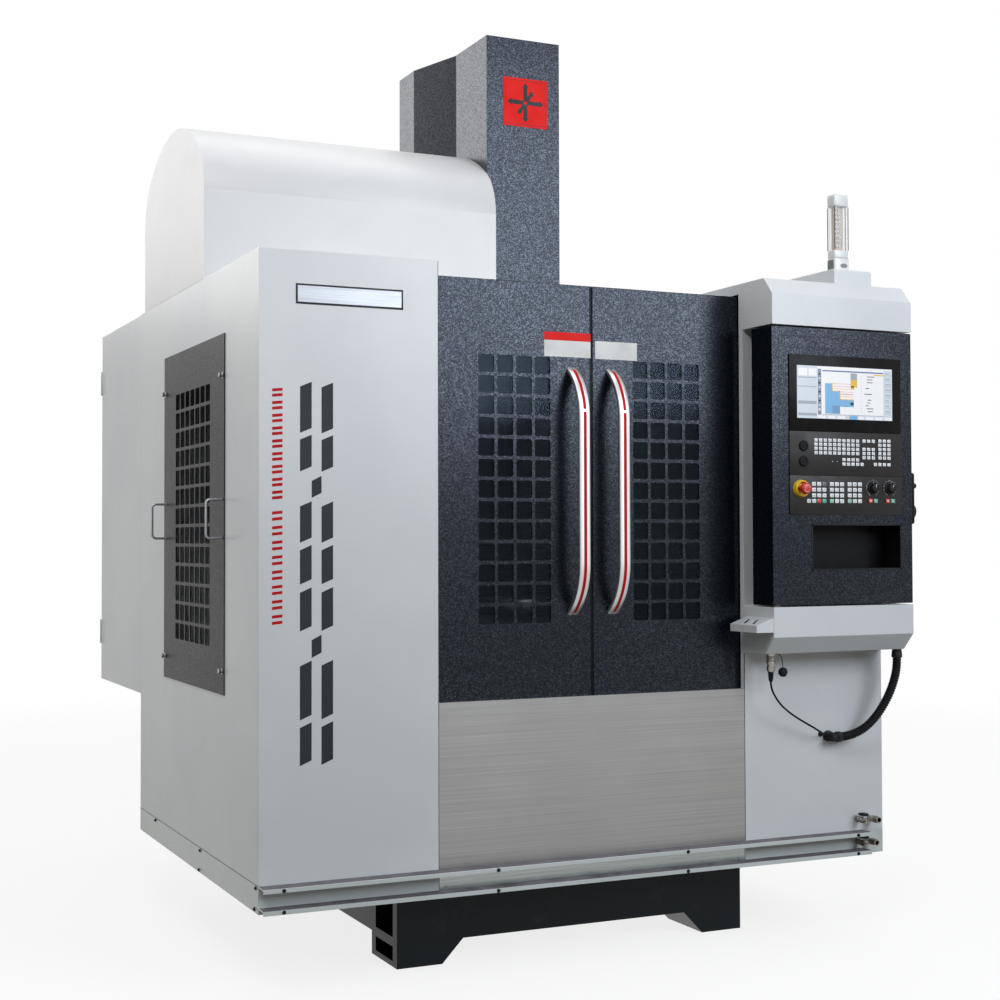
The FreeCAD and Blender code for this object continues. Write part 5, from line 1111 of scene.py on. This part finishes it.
def pushKeys():
    c = controlPlaces
    halfX, halfZ = c["keyHalf"]
    z = c["keyZ"]
    places = [x + s * c["keySide"] for x in c["knobs"] for s in (-1, 1)]
    for name, x, cap in zip(("feed_stop_key", "feed_start_key", "spindle_stop_key", "spindle_start_key"),
                            places, ("keyRed", "keyGreen", "keyRed", "keyGreen")):
        bm = bmesh.new()
        slab(bm, x - halfX, x + halfX, panelFace - 3, panelFace + 0.6, z - halfZ, z + halfZ, 0.8)
        if cap == "keyRed":
            slab(bm, x - 2.4, x + 2.4, panelFace - 3.12, panelFace - 2.9, z - 2.4, z + 2.4, 0, 1, 1)
        else:
            corners = [(x - 2.4, panelFace - 2.9, z - 2.8), (x - 2.4, panelFace - 2.9, z + 2.8),
                       (x + 2.8, panelFace - 2.9, z)]
            prismPlate(bm, corners, (0, -0.22, 0), 1)
        addPiece(name.replace("_key", "Cap").replace("_", ""), bm, [cap, "whiteInk"], name,
                 [name], 35)


def handwheelPendant():
    pendant = {"x": 2050.0, "y0": -135.0, "y1": -65.0, "z0": 1262.0, "z1": 1422.0, "thick": 30.0,
               "wheelZ": 1302.0, "reach": 52.0}
    face = pendant["x"] + pendant["thick"]
    middleY = (pendant["y0"] + pendant["y1"]) / 2
    bm = bmesh.new()
    slab(bm, pendant["x"], face, pendant["y0"], pendant["y1"], pendant["z0"], pendant["z1"], 7, 4)
    slab(bm, pendant["x"] + 13, pendant["x"] + 15, pendant["y0"] - 0.3, pendant["y1"] + 0.3,
         pendant["z0"] - 0.3, pendant["z1"] + 0.3, 0.5, 1, 1)
    for s in (-1, 1):
        base = (face, middleY + s * 17, pendant["z1"] - 40)
        lathe(bm, base, (1, 0, 0), [(-1, 11), (4, 11), (5, 9.6), (12, 8.6), (14, 7), (14, 0)], 28, 1)
        slab(bm, face + 13.6, face + 14.2, base[1] - 0.7, base[1] + 0.7, base[2] + 1, base[2] + 8, 0.1, 1, 2)
        for i in range(7):
            angle = math.radians(-60 + 20 * i)
            tick = Vector((face, base[1] + 14.5 * math.sin(angle), base[2] + 14.5 * math.cos(angle)))
            slab(bm, tick.x - 0.1, tick.x + 0.25, tick.y - 0.6, tick.y + 0.6, tick.z - 0.6, tick.z + 0.6, 0,
                 1, 2)
    for i in range(25):
        angle = 2 * math.pi * i / 25
        tick = Vector((face, middleY + 28.5 * math.sin(angle), pendant["wheelZ"] + 28.5 * math.cos(angle)))
        size = 0.7 if i % 5 else 1.2
        slab(bm, tick.x - 0.1, tick.x + 0.25, tick.y - size, tick.y + size, tick.z - size, tick.z + size, 0,
             1, 2)
    addPiece("handwheelBox", bm, ["rubber", "black", "whiteInk"], "operator_station",
             ["handwheel_pendant"])
    bm = bmesh.new()
    out = pendant["x"] + pendant["reach"]
    lathe(bm, (face + 0.3, middleY, pendant["wheelZ"]), (1, 0, 0),
          [(-14, 5), (0, 5), (0, 25.4), (1.5, 26), (8, 26), (12, 25), (13.5, 21), (13.7, 12), (12.6, 11),
           (12.6, 0)], 48)
    for up, across in circle(36):
        ridge = (face + 2, middleY + 25.7 * across, pendant["wheelZ"] + 25.7 * up)
        lathe(bm, ridge, (1, 0, 0), [(0, 0.7), (7, 0.7), (8, 0.3)], 5)
    lathe(bm, (out - 9, middleY, pendant["wheelZ"] + 18), (1, 0, 0),
          [(0, 3.4), (3, 3.4), (4, 5), (8, 5), (9, 4), (9, 0)], 20, 1)
    addPiece("pulseWheel", bm, ["black", "rubber"], "pendant_handwheel",
             ["pendant_handwheel"])


def shelfLining():
    # black lining in the two slots of the tool shelf, flush below its sloping top
    shelf = {"x": 1472.0, "z": 939.0, "outer": 22.0, "rise": 0.35, "firstY": -125.0, "pitch": 45.0}
    outline = ((10, 0), (40, 20), (44, 30), (12, 11))
    bm = bmesh.new()
    for slot in range(2):
        loops = []
        for inset in (0.1, 1.2):
            for low in (True, False):
                loop = []
                for dx, dy in outline:
                    corner = Vector((shelf["x"] + dx, shelf["firstY"] + slot * shelf["pitch"] + dy, 0))
                    middle = Vector((shelf["x"] + 26.5, shelf["firstY"] + slot * shelf["pitch"] + 15.2, 0))
                    corner += (middle - corner).normalized() * inset
                    top = shelf["z"] + shelf["outer"] + shelf["rise"] * (corner.x - shelf["x"]) - 0.3
                    corner.z = shelf["z"] + 0.3 if low else top
                    loop.append(bm.verts.new(corner))
                loops.append(loop)
        outerLow, outerHigh, innerLow, innerHigh = loops
        for i in range(4):
            j = (i + 1) % 4
            for a, b in ((outerLow, outerHigh), (outerHigh, innerHigh), (innerHigh, innerLow),
                         (innerLow, outerLow)):
                bm.faces.new((a[i], a[j], b[j], b[i]))
    addPiece("shelfSlots", bm, ["rubber"], "machine", smooth=30)


def stationTrim():
    trim = {"joint": (1556.0, 2028.0, 1040.0, 1826.0), "frame": (1671.0, 2008.0, 1122.0, 1262.0),
            "cubbyShade": (1675.1, 2003.9, 1126.1, 1257.9), "mouth": -153.0, "back": -65.1}
    bm = bmesh.new()
    # fine joint line of the front cover, and the frame of the cubby
    y = station["front"]
    x0, x1, z0, z1 = trim["joint"]
    border(bm, x0, x1, y - 0.5, y + 0.2, z0, z1, 2, 0.2, 1)
    x0, x1, z0, z1 = trim["frame"]
    border(bm, x0, x1, y - 1.2, y + 0.2, z0, z1, 5, 0.5, 1, 1)
    # thin matt dark sheets inside the cubby: painted shade in its recess
    back = trim["back"]
    x0, x1, z0, z1 = trim["cubbyShade"]
    slab(bm, x0, x1, back - 0.5, back, z0, z1, 0, 1, 2)
    border(bm, x0, x1, trim["mouth"], back - 0.6, z0, z1, 0.5, 0, 1, 2)
    addPiece("stationTrim", bm, ["ink", "black", "rubber"], "operator_station")


displayUnit()
keyCaps()
keyboardPanel()
machinePanel()
overrideKnobs()
stopButton()
pushKeys()
handwheelPendant()
stationTrim()
shelfLining()
print("operator station built")


# Signal lamp and air valves

def signalLamp():
    lamp = {"x": 1849.0, "y": -60.0, "width": 55.0, "depth": 40.0, "low": 2047.0, "base": 2088.0,
            "collar": 2113.0, "cap": 2248.0, "high": 2287.0, "lights": 9, "button": (13.0, 7.0)}
    x, y, w, d = lamp["x"], lamp["y"], lamp["width"] / 2, lamp["depth"] / 2
    bm = bmesh.new()
    slab(bm, x - w, x + w, y - d, y + d, lamp["low"], lamp["base"], 4, 3)
    slab(bm, x - w + 1.2, x + w - 1.2, y - d + 1.2, y + d - 1.2, lamp["base"], lamp["collar"], 3, 3)
    slab(bm, x - w + 0.6, x + w - 0.6, y - d + 0.6, y + d - 0.6, lamp["cap"], lamp["high"], 5, 3)
    wide, tall = lamp["button"]
    oval = [(x + 6 + wide * across, y - d + 0.1, lamp["low"] + 17 + tall * up) for across, up in circle(28)]
    prismPlate(bm, oval, (0, -0.7, 0), 3)
    slab(bm, x - w - 0.4, x - w + 1, y - d + 6, y + d - 4, lamp["low"] + 3, lamp["base"] - 5, 0.3, 1, 3)
    # wide core with a row of small lights on each side, and dark rods along the edges
    low, high = lamp["collar"], lamp["cap"]
    slab(bm, x - 19, x + 13, y - 8, y + 8, low, high, 1, 1, 1)
    slab(bm, x + 15, x + 17, y - d + 3, y - d + 5, low, high, 0.4, 1, 2)
    for edgeX in (x - w + 0.8, x + w - 3.2):
        for edgeY in (y - d + 0.8, y + d - 3.2):
            slab(bm, edgeX, edgeX + 2.4, edgeY, edgeY + 2.4, low, high, 0.6, 1, 2)
    for i in range(lamp["lights"]):
        z = high - 10 - i * (high - low - 20) / (lamp["lights"] - 1)
        for side in (-14, -5):
            for face in (-1, 1):
                lathe(bm, (x + side, y + face * 8, z), (0, face, 0), [(0, 2.6), (1.2, 2.2), (1.6, 0)], 10, 3)
    addPiece("signalLamp", bm, ["lampShell", "lampStrip", "ink", "keyGrey"], "machine",
             ["signal_lamp"])
    bm = bmesh.new()
    slab(bm, x - w + 0.4, x + w - 0.4, y - d + 0.4, y + d - 0.4, low - 1, high + 1, 3, 3)
    addPiece("lampSleeve", bm, ["clear"], "machine")


def airValves():
    valve = {"x": 1950.0, "radius": 10.0, "length": 44.0, "lever": 25.0, "half": 10.0, "thick": 4.7,
             "places": (("upper", 336.0, 1997.0), ("lower", 266.0, 1988.0))}
    bm = bmesh.new()
    x, y = valve["x"], -valve["length"] / 2
    for name, z, couplerX in valve["places"]:
        # ball valve: hex ends, round middle, gland nut under the lever
        lathe(bm, (x, 0, z), (0, -1, 0), [(0, 9), (2, 9.8), (12, 9.8), (13, 8.6)], 6)
        lathe(bm, (x, 0, z), (0, -1, 0), [(12, 8), (14, 9.2), (18, 9.9), (26, 9.9), (30, 9.2), (32, 8)])
        lathe(bm, (x, 0, z), (0, -1, 0), [(31, 8.6), (32, 9.8), (42, 9.8), (44, 9), (44, 6.4), (36, 6.2),
                                          (36, 0)], 6)
        lathe(bm, (x, -44, z), (0, -1, 0), [(-2, 5), (6, 5), (6, 3.4), (2, 3.2), (2, 0)], 16)
        lathe(bm, (x, y, z), (0, 0, 1), [(6, 5.8), (13.4, 5.8), (13.8, 5.0), (13.9, 3.1)], 20)
        # quick coupler with its knurled sleeve, open at the front
        lathe(bm, (couplerX, 0, z), (0, -1, 0), [(0, 9), (1, 9.6), (10, 9.6), (11, 8.4), (14, 8.2), (15, 10),
                                                 (16, 10.9), (22, 10.9), (23, 10), (24, 10), (25, 10.9),
                                                 (44, 10.9), (46, 10.2), (50, 9.6), (50, 7.2), (26, 7.0),
                                                 (26, 0)])
        for across, up in circle(24):
            ridge = (couplerX + 10.4 * across, -26, z + 10.4 * up)
            lathe(bm, ridge, (0, -1, 0), [(0, 0.3), (1, 0.6), (15, 0.6), (16, 0.3)], 5)
        lathe(bm, (couplerX, 0, z), (0, -1, 0), [(26, 6.9), (40, 6.9), (40, 0)], 20, 1)
    addPiece("valvesAndCouplers", bm, ["nickel", "rubber"], "machine", ["air_valves"], 34)
    for name, z, couplerX in valve["places"]:
        bm = bmesh.new()
        under = z + valve["radius"] + 4.3
        over = under + valve["thick"]
        lathe(bm, (x, y, z + 5), (0, 0, 1), [(0, 3), (over - z - 5.4, 3), (over - z - 5.2, 5.4),
                                             (over - z - 5, 5.4), (over - z - 5, 0)], 20)
        slab(bm, x - 7, x + 7, y - 4, y + 8, under, over + 2.5, 1.6)
        slab(bm, x - valve["half"], x + valve["half"], y - valve["lever"], y - 2, under, over + 4.5, 2.2, 3)
        addPiece(name + "Lever", bm, ["black"], name + "_valve_lever", [name + "_valve_lever"],
                 35)


signalLamp()
airValves()
print("lamp and valves built")


# Plates and painted marks

def axisPlate():
    # red plate on the column cover with plain arrows along the three axes
    tag = {"face": 637.0, "x": (1027.0, 1190.0), "z": (2588.0, 2750.0), "edge": 7.0, "line": 1.2}
    face, edge = tag["face"], tag["edge"]
    (x0, x1), (z0, z1) = tag["x"], tag["z"]
    bm = bmesh.new()
    slab(bm, x0, x1, face - 1.2, face, z0, z1, 0.4, 1)
    border(bm, x0 + edge, x1 - edge, face - 1.4, face - 1.1, z0 + edge, z1 - edge, tag["line"], 0, 1, 1)
    middle = Vector(((x0 + x1) / 2, face - 1.2, (z0 + z1) / 2))
    arrows = ((0, 66.0, 7.0), (180, 66.0, 7.0), (90, 66.0, 7.0), (270, 66.0, 7.0), (35, 48.0, 5.5),
              (215, 48.0, 5.5))
    for i, (degrees, reach, half) in enumerate(arrows):
        angle = math.radians(degrees)
        along = Vector((math.sin(angle), 0, math.cos(angle)))
        across = Vector((math.cos(angle), 0, -math.sin(angle)))
        neck = reach - 2.2 * half
        outline = [middle + along * (4 + i) - across * half, middle + along * neck - across * half,
                   middle + along * neck - across * (1.8 * half), middle + along * reach,
                   middle + along * neck + across * (1.8 * half), middle + along * neck + across * half,
                   middle + along * (4 + i) + across * half]
        lift = 0.25 + 0.08 * i
        prismPlate(bm, [p + Vector((0, 0.1, 0)) for p in outline], (0, -lift, 0), 1)
    addPiece("axisPlate", bm, ["plateRed", "ink"], "machine")


def housingMarks():
    # columns of red and dark dashes with slanted ends, and a blank badge above them
    marks = {"lift": -0.25, "bars": ((115, 148), (176, 209)), "slant": 14.0,
             "blocks": ((611, 727), (733, 892), (971, 1089), (1097, 1203), (1209, 1321), (1401, 1501),
                        (1505, 1644)), "dashes": ((899, 961), (1330, 1390)), "dashX": (148, 176),
             "red": (37, 66), "redRuns": ((985, 1302, 8), (1320, 1629, 9)), "redBar": 8.0}
    face, push = marks["lift"], (0, 0.3, 0)
    bm = bmesh.new()
    for low, high, count in marks["redRuns"]:
        step = (high - low) / count
        for i in range(count):
            for shift in (0.14, 0.56):
                z = low + (i + shift) * step
                outline = [(marks["red"][0], face, z), (marks["red"][1], face, z + 3),
                           (marks["red"][1], face, z + 3 + marks["redBar"]),
                           (marks["red"][0], face, z + marks["redBar"])]
                prismPlate(bm, outline, push)
    addPiece("redDashes", bm, ["stripeRed"], "machine")
    bm = bmesh.new()
    runs = [(x, block) for block in marks["blocks"] for x in marks["bars"]] + [(marks["dashX"], d)
                                                                               for d in marks["dashes"]]
    for (x0, x1), (low, high) in runs:
        outline = [(x0, face, low), (x1, face, low + marks["slant"]), (x1, face, high),
                   (x0, face, high - marks["slant"])]
        prismPlate(bm, outline, push)
    addPiece("darkDashes", bm, ["ink"], "machine")
    bm = bmesh.new()
    slab(bm, 103, 414, -1.4, 0.05, 1854, 1909, 0.5)
    slab(bm, 108, 409, -1.7, -1.2, 1859, 1904, 0.4, 1, 1)
    addPiece("blankBadge", bm, ["ink", "badge"], "machine")


axisPlate()
housingMarks()


# Seams, hinges and vents of the sheet metal

def cabinetDetails():
    cabinet = {"joint": 2044.3, "back": 2062.3, "hinges": (871.0, 1817.0), "leaf": 40.0,
               "vents": (760.0, 1800.0), "slats": 9, "step": 16.0, "x": (420, 780)}
    # hinge leaves: one on the cabinet, one on its door
    joint, back = cabinet["joint"], cabinet["back"]
    for name, body, y0, y1 in (("cabinetHingeLeaves", "machine", joint - 30, joint - 0.8),
                               ("doorHingeLeaves", "cabinet_door", joint + 0.2, back - 1)):
        bm = bmesh.new()
        for middle in cabinet["hinges"]:
            slab(bm, -0.8, 0.1, y0, y1, middle - cabinet["leaf"], middle + cabinet["leaf"], 0.3, 1)
            for z in (middle - 26, middle, middle + 26):
                lathe(bm, (-0.8, (y0 + y1) / 2, z), (-1, 0, 0), [(0, 3.4), (0.2, 3.2), (0.3, 1.8), (0.1, 0)],
                      14)
        addPiece(name, bm, ["housing"], body)
    # louvres of the cabinet door, low and high
    bm = bmesh.new()
    x0, x1 = cabinet["x"]
    for base in cabinet["vents"]:
        for i in range(cabinet["slats"]):
            z = base + i * cabinet["step"]
            outline = [(x0, back - 0.2, z), (x0, back - 0.2, z + 10), (x0, back + 4.5, z + 1.5),
                       (x0, back + 4.5, z)]
            prismPlate(bm, outline, (x1 - x0, 0, 0))
            slab(bm, x0 + 3, x1 - 3, back - 0.1, back + 0.3, z - 2.4, z - 0.2, 0, 1, 1)
    addPiece("cabinetLouvres", bm, ["housing", "ink"], "cabinet_door")


def sideSeams():
    # joints where the folded sheets meet, drawn as fine dark gaps
    bm = bmesh.new()
    pan = 299.6
    for x0, x1 in ((-0.3, 0.1), (2049.9, 2050.3)):
        slab(bm, x0, x1, 2, 1388, pan, pan + 1.5, 0, 1)
    slab(bm, 518.6, 520.2, -0.3, 2, 302, 1998, 0, 1)
    slab(bm, 1531.8, 1533.4, -0.3, 2, 302, 870, 0, 1)
    addPiece("sheetJoints", bm, ["ink"], "machine")


cabinetDetails()
sideSeams()
print("plates and seams built")


# Materials of the pieces that keep their shape from the frame, and the roundings of their edges in
# millimetres

nodePaint = {
    "base": "base_casting", "ledge": "drip_pan", "sheet": "lower_front_panel", "hood": "magazine_hood",
    "castGrey": "column_casting y_saddle x_table trunnion_frame tilt_cradle spindle_head",
    "housing": "left_housing right_housing back_panel roof_panel electrical_cabinet cabinet_door lamp_duct",
    "strip": "cabin_liner front_way_leaf rear_way_leaf", "glass": "left_door_glass right_door_glass",
    "machined": "door_rails swivel_pins rotary_table spindle magazine_disc change_arm",
    "fineDark": "right_access_panel", "dark": "column_cover operator_box", "black": "cabinet_latch",
}
softEdges = {
    0.8: "lower_front_panel", 1.0: "drip_pan rotary_table",
    1.6: "magazine_hood column_cover electrical_cabinet",
    2.0: "left_housing right_housing cabinet_door lamp_duct y_saddle x_table cabinet_latch",
    2.2: "operator_box",
    3.0: "trunnion_frame tilt_cradle spindle_head column_casting", 5.0: "base_casting",
}


def dressFrame():
    for material, names in nodePaint.items():
        for name in names.split():
            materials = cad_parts[name].data.materials
            materials.clear()
            materials.append(paint[material])
    for width, names in softEdges.items():
        for name in names.split():
            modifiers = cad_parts[name].modifiers
            modifiers.new("weld", "WELD").merge_threshold = 0.00002
            edge = modifiers.new("softEdge", "BEVEL")
            edge.width = width * mm
            edge.segments = 2
            edge.limit_method = "ANGLE"
            edge.angle_limit = math.radians(40)
            edge.use_clamp_overlap = True
            edge.harden_normals = False


dressFrame()
print("frame dressed")
